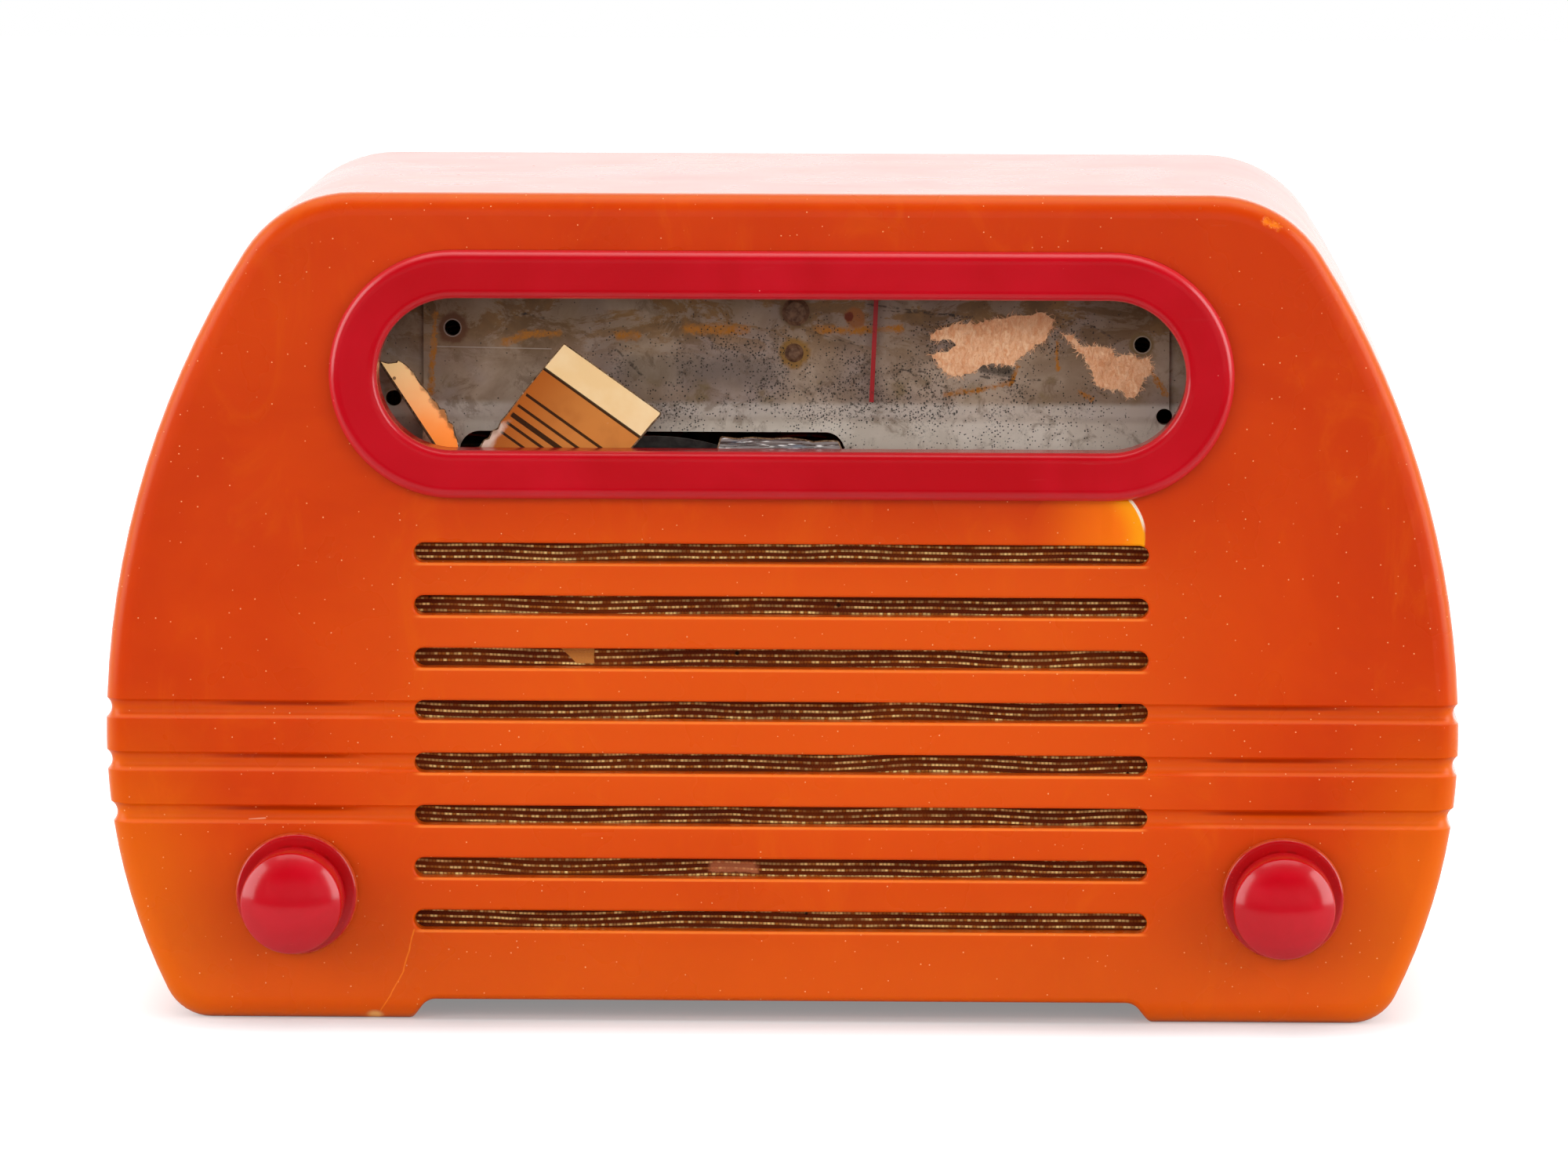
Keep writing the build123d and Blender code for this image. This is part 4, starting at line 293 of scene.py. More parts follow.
# Grille cloth: brown cotton woven with rows of gold-wrapped thread, glued over the baffle board.
# It ripples a little behind the slots, is torn in a small place at the third and scuffed at the seventh.
CLOTH_WIDTH, CLOTH_HEIGHT = 0.1679, 0.0997
CLOTH_THICKNESS, CLOTH_ROOM, RIPPLE = 0.00022, 0.00006, 0.00012
ROW_PITCH, BEAD_LENGTH, WARP_PITCH = 1.24, 0.8, 0.31
low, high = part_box("grille_cloth")
bpy.ops.object.select_all(action="DESELECT")
bpy.ops.mesh.primitive_grid_add(
    x_subdivisions=168,
    y_subdivisions=100,
    size=1.0,
    location=((low[0] + high[0]) / 2, low[1] + CLOTH_ROOM, (low[2] + high[2]) / 2),
    rotation=(pi / 2, 0, 0),
)
cloth = bpy.context.object
cloth.name = "grille_weave_sheet"
cloth.scale = (CLOTH_WIDTH, CLOTH_HEIGHT, 1.0)
bpy.ops.object.transform_apply(location=True, rotation=True, scale=True)
for vertex in cloth.data.vertices:
    ripple = sin(vertex.co.x * 95.0 + 2.0 * sin(vertex.co.z * 60.0)) * sin(vertex.co.z * 140.0 + 1.0)
    vertex.co.y += RIPPLE * (1.0 + ripple)
thickness = cloth.modifiers.new("thickness", "SOLIDIFY")
thickness.thickness = CLOTH_THICKNESS
thickness.offset = -1.0
bpy.ops.object.modifier_apply(modifier="thickness")
bpy.ops.object.shade_smooth()


def from_middle(steps):
    """How far a value is from the middle of its unit step: 0 there, and 0.5 where the next step begins."""
    return abs(steps - steps.math("FLOOR", steps) - 0.5)


weave, shader, place, x, y, z = new_finish("brown_and_gold_weave")
sway = (cloud(place, 32.0, 1.0) - 0.5) * 2.4 + (cloud(place, 5.0, 1.0) - 0.5) * 0.16
row = (z + sway) / ROW_PITCH
row_number = row.math("FLOOR", row)
across = from_middle(row) * ROW_PITCH
thread = x / BEAD_LENGTH + row_number * 0.37
thread_number = thread.math("FLOOR", thread)
pair = thread.node("ShaderNodeCombineXYZ", values={0: thread_number, 1: row_number})
luck = thread.node("ShaderNodeTexWhiteNoise", {"noise_dimensions": "2D"}, {"Vector": pair})
bead = (1.0 - from_middle(thread) * 2.0) ** 0.6
run = cloud(stretched(place, 0.3, 1.0, 1.6), 2.2, 2.0, 0.6)
gold = rise(across, 0.3, 0.14) * (0.2 + bead * 0.8) * (0.35 + rise(run, 0.36, 0.56) * 0.65)
warp = 1.0 - from_middle(x / WARP_PITCH + row_number * 0.5) * 2.0
age = cloud(place, 24.0, 3.0)
ground = layer(warp, rgb(38, 9, 1), rgb(116, 42, 6))
ground = layer(rise(age, 0.42, 0.75) * 0.4, ground, rgb(138, 64, 12))
thread_colour = layer(rise(luck, 0.1, 0.9), rgb(168, 104, 34), rgb(255, 228, 146))
colour = layer(gold, ground, thread_colour)
colour = layer(specks(place, 7.0, 0.55), colour, rgb(20, 8, 2))
torn_edge = (cloud(place, 2.2, 3.0) - 0.5) * 3.2
torn = rise(x + (z - 75.7) * 1.05 + torn_edge * 0.12, -45.1, -44.9)
torn = torn * rise(x + torn_edge * 0.1, -37.7, -37.9) * rise(z, 72.1, 72.3) * rise(z, 79.0, 78.0)
colour = layer(torn, colour, rgb(196, 132, 62))
scuff = rise(abs(x + 9.8) + torn_edge, 5.4, 4.2) * rise(abs(z - 31.0) + torn_edge * 0.3, 1.4, 0.9)
colour = layer(scuff * 0.6, colour, rgb(206, 128, 86))
height = gold * 0.16 + warp * 0.05 * (1.0 - gold) - torn * 0.1
roughness = 0.78 - gold * 0.3
finish_with(shader, Base_Color=colour, Roughness=roughness, Normal=relief(height, 1.0, 1.0))
finish_with(shader, Specular_IOR_Level=0.15)
cloth.data.materials.append(weave)
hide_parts("grille_cloth")
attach(cloth, "cabinet")

# Baffle board: pressed fibre board, pushed over four pegs of the cabinet and held there by push nuts.
# The grille cloth is glued round its edge, and the speaker is screwed to its back.


def aged(name, dark, light, grain, roughness=0.6, metal=0.0, depth=0.05, along=(1.0, 1.0, 1.0)):
    """An old plain finish: grain between two colours, dust in spots, and gloss that follows the grain."""
    material, shader, place, x, y, z = new_finish(name)
    texture = cloud(stretched(place, *along), grain, 5.0, 0.65, 0.4)
    handled = cloud(place, grain * 9.0, 3.0)
    colour = layer(rise(texture, 0.3, 0.7), rgb(*dark), rgb(*light))
    colour = layer(rise(handled, 0.5, 0.75) * 0.4, colour, rgb(*dark))
    lint = specks(place, 5.0, 0.2)
    colour = layer(lint * 0.45, colour, rgb(176, 158, 132))
    finish_with(shader, Base_Color=colour, Metallic=metal * (1.0 - lint * 0.6) if metal else 0.0)
    finish_with(shader, Roughness=roughness + texture * 0.16 + lint * 0.2)
    finish_with(shader, Normal=relief(texture, depth, 0.7))
    return material


fibre_board = aged("pressed_fibre_board", (62, 38, 22), (124, 84, 50), 1.1, 0.7, 0.0, 0.1, (0.4, 1, 1))
coat_nodes(fibre_board, "baffle_board")

# Fixings: push nuts, screws, nuts, clips and studs of plated steel, stamped or turned.
# They hold the board, the speaker, the chassis and the controls; their flanks are dull and stained.
fixing_steel = aged("stained_fixing_steel", (98, 80, 62), (172, 164, 152), 1.8, 0.32, 0.85)
coat_nodes(fixing_steel, "baffle_push_nuts", "speaker_screws", "chassis_screws", "bracket_screws")
coat_nodes(fixing_steel, "control_nuts", "tuning_clip", "pulley_studs")

# Speaker: a stamped steel basket with a pulp-paper cone, a copper voice coil and a ring magnet.
# Four screws hold it to the baffle board; its rim shows through the cut-out under the dial.
SPEAKER_CENTRE = (-26.5, 67.0)
coat_nodes(aged("speaker_basket_paint", (22, 20, 18), (52, 48, 44), 2.0, 0.42), "speaker_frame")
coat_nodes(aged("magnet_iron", (34, 32, 30), (74, 66, 58), 2.6, 0.5, 0.5, 0.12), "speaker_magnet")
copper = aged("voice_coil_copper", (140, 72, 34), (206, 122, 66), 0.7, 0.3, 0.9, 0.04, (1, 0.2, 1))
coat_nodes(copper, "voice_coil")
cone_paper, shader, place, x, y, z = new_finish("pulp_paper_cone")
outward = from_point(x, z, SPEAKER_CENTRE)
pulp = cloud(place, 0.9, 5.0, 0.7)
ribs = outward.math("SINE", outward * 2.4) * rise(outward, 34.0, 40.0)
colour = layer(pulp, rgb(26, 23, 20), rgb(62, 54, 46))
colour = layer(specks(place, 3.0, 0.2) * 0.4, colour, rgb(150, 132, 108))
finish_with(shader, Base_Color=colour, Roughness=0.8 + pulp * 0.15)
finish_with(shader, Normal=relief(ribs * 0.4 + pulp, 0.25, 0.8))
coat_nodes(cone_paper, "speaker_cone")

# Chassis: a steel tray folded from one sheet, with a dull cadmium plate, screwed to the cabinet's bosses.
# The lamp's socket and the pointer's carriage are bent from the same plated sheet.
plated_steel = aged("dull_cadmium_plate", (112, 108, 98), (168, 165, 152), 5.0, 0.36, 0.75, 0.03)
coat_nodes(plated_steel, "chassis", "pilot_lamp_socket", "pointer_carriage")

# Tubes: five in a row, in moulded sockets set into the chassis, each with a black moulded base.
# Their blown glass is clear at the side and silvered inside at the top.
moulded_black = aged("black_moulded_resin", (10, 9, 8), (34, 30, 27), 1.4, 0.3)
coat_nodes(moulded_black, "tube_bases", "volume_control")
coat_nodes(aged("brown_moulded_sockets", (38, 22, 12), (78, 46, 26), 1.2, 0.4), "tube_sockets")
tube_glass, shader, place, x, y, z = new_finish("silvered_tube_glass")
tube_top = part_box("tube_envelopes")[1].z * 1000
silvering = rise(z + (cloud(place, 5.0) - 0.5) * 4.0, tube_top - 13.0, tube_top - 6.0)
smoke = cloud(place, 12.0, 3.0)
colour = layer(silvering, rgb(196, 204, 200), rgb(150, 148, 142))
finish_with(shader, Base_Color=colour, Metallic=silvering * 0.9, Roughness=0.05 + smoke * 0.08)
finish_with(shader, Alpha=0.22 + smoke * 0.1 + silvering * 0.68)
coat_nodes(tube_glass, "tube_envelopes")

# Parts on the chassis: drawn aluminium cans, a card-sleeved filter capacitor and the output transformer,
# whose core is a stack of iron sheets with a paper-wrapped winding round its middle.
aluminium = aged("drawn_aluminium", (150, 150, 148), (196, 196, 194), 1.2, 0.28, 0.9, 0.02, (1, 1, 0.08))
coat_nodes(aluminium, "if_cans")
waxed_card = aged("waxed_card_sleeve", (112, 74, 38), (166, 118, 66), 2.2, 0.42, 0.0, 0.06)
coat_nodes(waxed_card, "filter_capacitor")
varnished = aged("varnished_winding", (92, 56, 22), (150, 98, 44), 1.0, 0.38, 0.0, 0.06)
coat_nodes(varnished, "output_transformer_coil")
core_iron, shader, place, x, y, z = new_finish("stacked_core_iron")
rust = cloud(place, 3.0, 4.0)
CORE_SHEET = 0.5
sheets = from_middle(y / CORE_SHEET) * 2.0
colour = layer(rise(rust, 0.42, 0.7), rgb(52, 46, 42), rgb(96, 62, 40))
finish_with(shader, Base_Color=colour, Metallic=0.7 - rust * 0.4, Roughness=0.42 + rust * 0.3)
finish_with(shader, Normal=relief(sheets * 0.5 + rust * 0.2, 0.12, 0.7))
coat_nodes(core_iron, "output_transformer_core")

# Parts under the chassis: paper capacitors rolled and dipped in wax, and small rod resistors.
# They lie side by side under the tray; the resistors are painted in bands.
BAND_PITCH = 2.6
waxed_paper = aged("waxed_paper_tubes", (158, 116, 62), (206, 168, 108), 2.4, 0.34, 0.0, 0.08)
coat_nodes(waxed_paper, "paper_capacitors")
resistor_body, shader, place, x, y, z = new_finish("banded_resistor_paint")
band = rise(from_middle(x / BAND_PITCH), 0.2, 0.14)
paint = cloud(place, 1.0, 3.0)
colour = layer(band, rgb(92, 52, 30), layer(rise(paint, 0.4, 0.6), rgb(190, 60, 30), rgb(214, 170, 60)))
finish_with(shader, Base_Color=colour, Roughness=0.4 + paint * 0.15, Normal=relief(paint, 0.05, 0.6))
coat_nodes(resistor_body, "resistors")

# Tuning gang: a plated steel frame with two sets of stamped aluminium plates, one fixed and one turning.
# The shaft of the turning set carries the pressed dial drum.
coat_nodes(plated_steel, "gang_frame")
gang_plates = aged("stamped_aluminium_plates", (158, 158, 156), (202, 202, 200), 2.0, 0.3, 0.9, 0.02)
coat_nodes(gang_plates, "gang_stator", "gang_rotor")
coat_nodes(aged("pressed_drum_plate", (132, 126, 112), (182, 178, 164), 3.0, 0.34, 0.8, 0.03), "dial_drum")

# Dial plate: sheet steel folded to a ledge at the foot, once covered by the glass scale, with two brackets.
# Its plating has gone grey-violet and is peppered with black, scratched, and stained ochre round the rivets
# and where old glue was.
FOLD_HEIGHT, LEDGE_START = 122.6, -42.4
HOLES, HOLE_RADIUS = ((-67.1, 139.1), (72.5, 136.2), (-79.1, 124.7)), 1.6
dial_plate, shader, place, x, y, z = new_finish("stained_dial_plate")
wear = cloud(place, 16.0, 5.0, 0.6, 0.4)
shift = (cloud(place, 2.4, 4.0, 0.65) - 0.5) * 2.6
violet = rise(cloud(place, 22.0, 3.0), 0.42, 0.62)
colour = layer(rise(wear, 0.35, 0.68), rgb(152, 127, 103), rgb(196, 173, 150))
colour = layer(violet * 0.5, colour, rgb(164, 148, 146))
# Painted highlight: a pale band along the bend of the fold.
painted_fold_highlight = rise(abs(z - FOLD_HEIGHT + shift * 0.3), 2.2, 0.6)
ledge = rise(y, LEDGE_START, LEDGE_START - 1.0)
colour = layer(ledge, colour, layer(rise(wear, 0.4, 0.7), rgb(212, 200, 184), rgb(236, 226, 212)))
colour = layer(painted_fold_highlight * 0.55, colour, rgb(236, 228, 216))
upper = rise(z, 129.0, 141.0)
glue = rise(cloud(stretched(place, 0.45, 1.0, 1.0), 6.5, 7.0, 0.72, 0.8), 0.46, 0.54)
# Painted shade: the upper part is laid over with brown, more towards the top, for the shade under the
# bezel's upper lip.
colour = layer(upper * 0.3, colour, rgb(128, 92, 48))
colour = layer(glue * upper * 0.8, colour, layer(rise(wear, 0.4, 0.6), rgb(104, 70, 26), rgb(140, 95, 32)))
brown = rise(cloud(place, 4.5, 5.0, 0.7, 0.6), 0.52, 0.66)
colour = layer(brown * 0.5, colour, rgb(112, 84, 56))
pool = rise(cloud(place, 7.0, 4.0), 0.55, 0.7) * rise(z, 122.8, 125.0) * rise(z, 131.0, 127.0)
colour = layer(pool * 0.55, colour, rgb(128, 104, 52))
OCHRE_STROKES = (
    ((32.8, 125.9), (39.2, 126.9), 0.8),
    ((39.2, 126.9), (46.2, 128.4), 0.7),
    ((46.2, 128.4), (47.3, 131.6), 0.6),
    ((7.0, 139.0), (16.2, 139.0), 1.3),
    ((16.2, 139.0), (23.7, 139.1), 1.0),
    ((59.6, 126.8), (62.3, 125.2), 0.6),
    ((55.2, 137.0), (55.4, 131.0), 0.6),
    ((-56.2, 136.3), (-51.9, 137.9), 1.2),
    ((-51.9, 137.9), (-45.5, 138.0), 1.0),
    ((-33.6, 137.6), (-29.9, 137.6), 1.4),
    ((-19.7, 139.1), (-7.9, 138.9), 1.5),
    ((-70.5, 142.0), (-71.5, 126.0), 0.8),
    ((74.5, 130.5), (77.5, 126.0), 0.7),
)
patchy = 0.5 + rise(cloud(place, 1.2, 4.0, 0.7), 0.42, 0.58) * 0.5
ragged = shift * 0.7 + (cloud(place, 0.9, 4.0, 0.7) - 0.5) * 2.2
for start, end, width in OCHRE_STROKES:
    trace = rise(from_stroke(x, z, start, end) + ragged, width, width * 0.3)
    colour = layer(trace * patchy, colour, rgb(184, 114, 28))
RINGS = (
    ((-67.1, 139.1), 3.6, (104, 60, 32)),
    ((72.5, 136.2), 3.0, (128, 100, 60)),
    ((2.1, 134.3), 3.6, (150, 106, 34)),
    ((2.4, 142.6), 3.9, (116, 88, 56)),
    ((14.4, 141.6), 2.5, (158, 92, 40)),
    ((13.2, 141.7), 1.2, (112, 34, 14)),
)
for centre, width, tone in RINGS:
    halo = rise(from_point(x, z, centre) + shift * 0.7, width, width * 0.7)
    colour = layer(halo * 0.85, colour, rgb(*tone))
pepper_zone = rise(cloud(place, 11.0, 3.0), 0.36, 0.62) * rise(x, -44.0, -26.0) * rise(x, 79.0, 40.0)
pepper_zone = pepper_zone * (1.0 - ledge * 0.55) * rise(z, 145.0, 134.0) * 1.5 + 0.16
fine_pepper = specks(place, 0.55, 0.21)
soot = rise(cloud(place, 0.5, 3.0, 0.7), 0.53, 0.63) * rise(pepper_zone, 0.4, 1.4)
pepper = rise(fine_pepper * (pepper_zone + specks(place, 0.9, 0.3) * 0.3), 0.1, 0.42)
pepper = pepper + specks(place, 1.7, 0.2) * 0.8
smudge = rise(from_stroke(x, z, (-30.0, 131.0), (-4.0, 130.5)) + shift * 1.4, 5.0, 1.0) * 0.3
smudge = smudge + rise(from_stroke(x, z, (40.5, 131.4), (45.5, 130.6)) + shift * 0.8, 1.5, 0.4) * 0.6
colour = layer(smudge * 1.2, colour, rgb(58, 50, 38))
colour = layer(soot * 0.75, colour, rgb(44, 37, 28))
colour = layer(pepper.math("MINIMUM", pepper, 0.9), colour, rgb(30, 25, 20))
SCRATCHES = (
    ((15.6, 144.4), (37.8, 141.5), 0.36),
    ((16.1, 143.2), (38.1, 141.8), 0.22),
    ((55.2, 141.6), (62.8, 139.8), 0.26),
    ((62.8, 139.8), (68.1, 136.6), 0.26),
    ((4.1, 139.0), (16.2, 135.5), 0.24),
    ((22.9, 131.0), (30.1, 130.4), 0.3),
    ((39.8, 129.7), (46.7, 128.8), 0.3),
    ((46.7, 128.8), (55.3, 129.2), 0.24),
    ((-55.7, 141.4), (-52.4, 142.0), 0.26),
    ((-52.4, 142.0), (-48.4, 141.0), 0.26),
    ((-28.3, 129.2), (-34.0, 135.0), 0.4),
)
scratched = 0.0
for start, end, width in SCRATCHES:
    scratched = scratched + rise(from_stroke(x, z, start, end) + shift * 0.45, width, width * 0.2)
scratched = scratched * rise(cloud(place, 1.3, 3.0), 0.4, 0.56)
colour = layer(scratched * 0.72, colour, rgb(58, 48, 40))
pale_scratch = rise(from_stroke(x, z, (-70.2, 135.3), (-47.1, 134.9)), 0.13, 0.05)
colour = layer(pale_scratch * 0.5, colour, rgb(204, 190, 178))
# Painted highlight: a pale ring on the punched burr round each hole.
for hole in HOLES:
    painted_burr_highlight = rise(abs(from_point(x, z, hole) - HOLE_RADIUS - 0.12), 0.2, 0.05)
    colour = layer(painted_burr_highlight * 0.28, colour, rgb(214, 206, 196))
shine = (1.0 - pepper.math("MINIMUM", pepper, 1.0)) * (0.4 - glue * upper * 0.2)
finish_with(shader, Base_Color=colour, Metallic=shine, Roughness=0.4 + wear * 0.12 + pepper * 0.15)
finish_with(shader, Normal=relief(wear * 0.4 - pepper * 0.3 - scratched * 0.3, 0.08, 0.8))
coat_nodes(dial_plate, "dial_plate", "dial_stiffener", "dial_bracket_left", "dial_bracket_right")
coat_nodes(aged("rusty_rivet_heads", (84, 56, 40), (140, 104, 78), 1.1, 0.46, 0.35, 0.12), "dial_rivets")

# Felt scraps: what is left of the felt that was glued to the dial plate behind the glass scale.
# Two torn pieces of peach wool felt, thin at their edges, with loose fibres all over.
FELT_BACK, FELT_THICKNESS, FELT_CELL = -0.04177, 0.0002, 0.3
TEAR_DEPTH, FIBRE_COUNT, FIBRE_HALF_WIDTH = 0.55, 900, 0.00005
LARGE_SCRAP = (
    (29.4, 134.0), (30.6, 134.7), (32.8, 134.7), (34.3, 136.2), (33.6, 136.7), (29.3, 136.7), (29.6, 138.1),
    (31.2, 139.4), (33.8, 140.3), (36.0, 140.7), (39.2, 140.9), (41.3, 141.6), (44.0, 142.0), (46.9, 142.3),
    (49.9, 142.5), (51.5, 143.4), (52.6, 142.7), (54.2, 142.2), (54.6, 140.8), (54.5, 139.5), (53.4, 138.4),
    (53.7, 137.1), (52.1, 136.5), (50.7, 135.7), (49.9, 134.4), (48.6, 133.6), (47.5, 133.0), (46.5, 131.9),
    (44.6, 131.7), (43.0, 131.9), (41.4, 131.9), (40.3, 131.4), (39.8, 130.6), (38.2, 130.3), (36.0, 129.5),
    (33.9, 129.7), (32.0, 130.5), (30.9, 131.6), (30.4, 133.1),
)
SMALL_SCRAP = (
    (55.5, 139.2), (56.9, 138.4), (58.5, 138.4), (59.6, 137.1), (60.1, 135.8), (62.2, 136.3), (64.9, 136.1),
    (66.8, 135.3), (67.1, 134.2), (68.7, 134.5), (70.3, 134.4), (72.1, 133.9), (74.0, 134.1), (74.3, 132.9),
    (74.8, 131.5), (74.6, 130.2), (73.2, 129.4), (72.5, 127.8), (71.7, 126.1), (71.1, 125.1), (69.2, 125.6),
    (67.6, 126.7), (65.5, 126.7), (63.6, 127.5), (62.3, 128.8), (62.0, 131.2), (60.9, 132.8), (60.1, 134.2),
    (58.5, 135.8), (56.6, 137.4),
)

felt_wool, shader, place, x, y, z = new_finish("peach_wool_felt")
nap = cloud(stretched(place, 1.0, 1.0, 0.5), 0.8, 5.0, 0.7, 1.0)
soil = cloud(place, 5.0, 3.0)
colour = layer(rise(nap, 0.3, 0.7), rgb(226, 158, 110), rgb(250, 208, 166))
colour = layer(rise(soil, 0.55, 0.75) * 0.45, colour, rgb(196, 122, 74))
colour = layer(rise(z + (soil - 0.5) * 6.0, 136.5, 141.0) * 0.4, colour, rgb(188, 120, 78))
finish_with(shader, Base_Color=colour, Roughness=0.88 + nap * 0.1, Normal=relief(nap, 0.3, 0.9))
finish_with(shader, Sheen_Weight=0.35, Sheen_Roughness=0.5, Specular_IOR_Level=0.1)


def inside(point, outline):
    """Whether a point of the plate lies inside a closed outline."""
    hits = 0
    for (x0, z0), (x1, z1) in zip(outline, outline[1:] + outline[:1]):
        if (z0 > point[1]) != (z1 > point[1]):
            hits += point[0] < x0 + (point[1] - z0) / (z1 - z0) * (x1 - x0)
    return hits % 2 == 1


def felt_scrap(name, outline, seed):
    """A torn sheet of felt on the dial plate, and its loose fibres as a piece of their own."""
    low = Vector((min(point[0] for point in outline), min(point[1] for point in outline)))
    high = Vector((max(point[0] for point in outline), max(point[1] for point in outline)))
    middle, span = (low + high) / 2, high - low
    bpy.ops.object.select_all(action="DESELECT")
    bpy.ops.mesh.primitive_grid_add(
        x_subdivisions=int(span.x / FELT_CELL),
        y_subdivisions=int(span.y / FELT_CELL),
        size=1.0,
        location=(middle.x / 1000, FELT_BACK, middle.y / 1000),
        rotation=(pi / 2, 0, 0),
    )
    scrap = bpy.context.object
    scrap.name = name
    scrap.scale = (span.x / 1000, span.y / 1000, 1.0)
    bpy.ops.object.transform_apply(location=True, rotation=True, scale=True)
    bpy.ops.object.mode_set(mode="EDIT")
    bpy.ops.mesh.select_all(action="DESELECT")
    bpy.ops.object.mode_set(mode="OBJECT")
    for vertex in scrap.data.vertices:
        spot = vertex.co * 1000
        tear_x, tear_z = [
            TEAR_DEPTH * noise.noise(Vector((spot.x * 0.9, seed + slice_at, spot.z * 0.9)))
            for slice_at in (0.5, 20.5)
        ]
        vertex.select = not inside((spot.x + tear_x, spot.z + tear_z), outline)
    bpy.ops.object.mode_set(mode="EDIT")
    bpy.ops.mesh.delete(type="VERT")
    bpy.ops.mesh.select_all(action="SELECT")
    bpy.ops.mesh.vertices_smooth(factor=0.6, repeat=2)
    bpy.ops.object.mode_set(mode="OBJECT")
    tufts = []
    for vertex in scrap.data.vertices:
        spot = vertex.co * 1000
        lump = noise.noise(Vector((spot.x * 0.8, seed + 4.0, spot.z * 0.8)))
        vertex.co.y -= 0.00022 + 0.00014 * lump
        tufts.append(vertex.co.copy())
    thickness = scrap.modifiers.new("thickness", "SOLIDIFY")
    thickness.thickness = FELT_THICKNESS
    thickness.offset = -1.0
    bpy.ops.object.modifier_apply(modifier="thickness")
    bpy.ops.object.shade_smooth()
    scrap.data.materials.append(felt_wool)

    corners, sides = [], []
    luck = random.Random(seed)
    for tuft in tufts[:: max(1, len(tufts) // FIBRE_COUNT)]:
        turn = luck.uniform(0, 2 * pi)
        reach = luck.uniform(0.0005, 0.0015)
        tip = tuft + Vector((cos(turn) * reach, -luck.uniform(0.00005, 0.0003), sin(turn) * reach))
        bow = (tuft + tip) / 2 + Vector((-sin(turn), -0.4, cos(turn))) * luck.uniform(-0.2, 0.3) * reach
        side = Vector((-sin(turn), 0.0, cos(turn))) * FIBRE_HALF_WIDTH
        first = len(corners)
        corners += [tuft - side, tuft + side, bow - side, bow + side, tip]
        sides += [(first, first + 1, first + 3, first + 2), (first + 2, first + 3, first + 4)]
    hairs = bpy.data.meshes.new(name + "_fibres")
    hairs.from_pydata(corners, [], sides)
    fibres = bpy.data.objects.new(name + "_fibres", hairs)
    bpy.context.scene.collection.objects.link(fibres)
    hairs.materials.append(felt_wool)
    for piece in (scrap, fibres):
        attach(piece, "cabinet")
    return scrap


large_scrap = felt_scrap("felt_scrap_large", LARGE_SCRAP, 3)
felt_scrap("felt_scrap_small", SMALL_SCRAP, 8)
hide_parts("felt_scraps")

# Pointer and its drive: a red-painted wire needle on a sliding carriage, drawn by a braided cord
# that runs from the drum round the tuning shaft and over two turned brass pulleys.
needle_paint, shader, place, x, y, z = new_finish("red_needle_paint")
worn = rise(cloud(place, 1.3, 4.0), 0.56, 0.68)
colour = layer(worn * 0.6, rgb(158, 8, 16), rgb(110, 24, 22))
finish_with(shader, Base_Color=colour, Roughness=0.4 + worn * 0.25, Normal=relief(worn, 0.03, 0.6))
coat_nodes(needle_paint, "pointer_needle")
brass_turned = aged("turned_brass", (128, 92, 40), (196, 154, 80), 1.4, 0.26, 0.9, 0.02)
coat_nodes(brass_turned, "pulley_left", "pulley_right", "tuning_bushing", "tuning_shaft", "volume_shaft")
cord_braid, shader, place, x, y, z = new_finish("braided_dial_cord")
BRAID_PITCH = 0.5
strand = from_middle((x + z) / BRAID_PITCH) * 2.0
grime_and_shade = cloud(place, 6.0, 3.0)
colour = layer(strand, rgb(58, 44, 30), rgb(150, 122, 84))
colour = layer(rise(grime_and_shade, 0.5, 0.7) * 0.5, colour, rgb(44, 34, 26))
finish_with(shader, Base_Color=colour, Roughness=0.82 + grime_and_shade * 0.1, Normal=relief(strand, 0.08, 0.8))
coat_nodes(cord_braid, "dial_cord")

# Pilot lamp: a small blown bulb with a screw base, behind the left end of the dial.
# It sits in the plated bracket socket; a film of dirt makes its glass half clear.
bulb_glass, shader, place, x, y, z = new_finish("pilot_bulb_glass")
film = cloud(place, 3.0, 3.0)
colour = layer(film, rgb(214, 200, 168), rgb(236, 230, 210))
finish_with(shader, Base_Color=colour, Roughness=0.06 + film * 0.1, Alpha=0.34 + film * 0.2)
coat_nodes(bulb_glass, "pilot_lamp_bulb")

# Broken dial scale: three fragments of the printed glass, standing loose in the bottom of the window.
# Their long edge is the ground edge of the glass; the others are shell-shaped breaks, with painted glints
# where they chip.
GLASS_THICKNESS = 2.4
GLASS_FOOT = (-53.6, 111.15)
RIM_CHIP = 0.00028
LARGE_LEAN, SMALL_LEAN, CLEAR_LEAN = 7.5, 22.0, 7.0


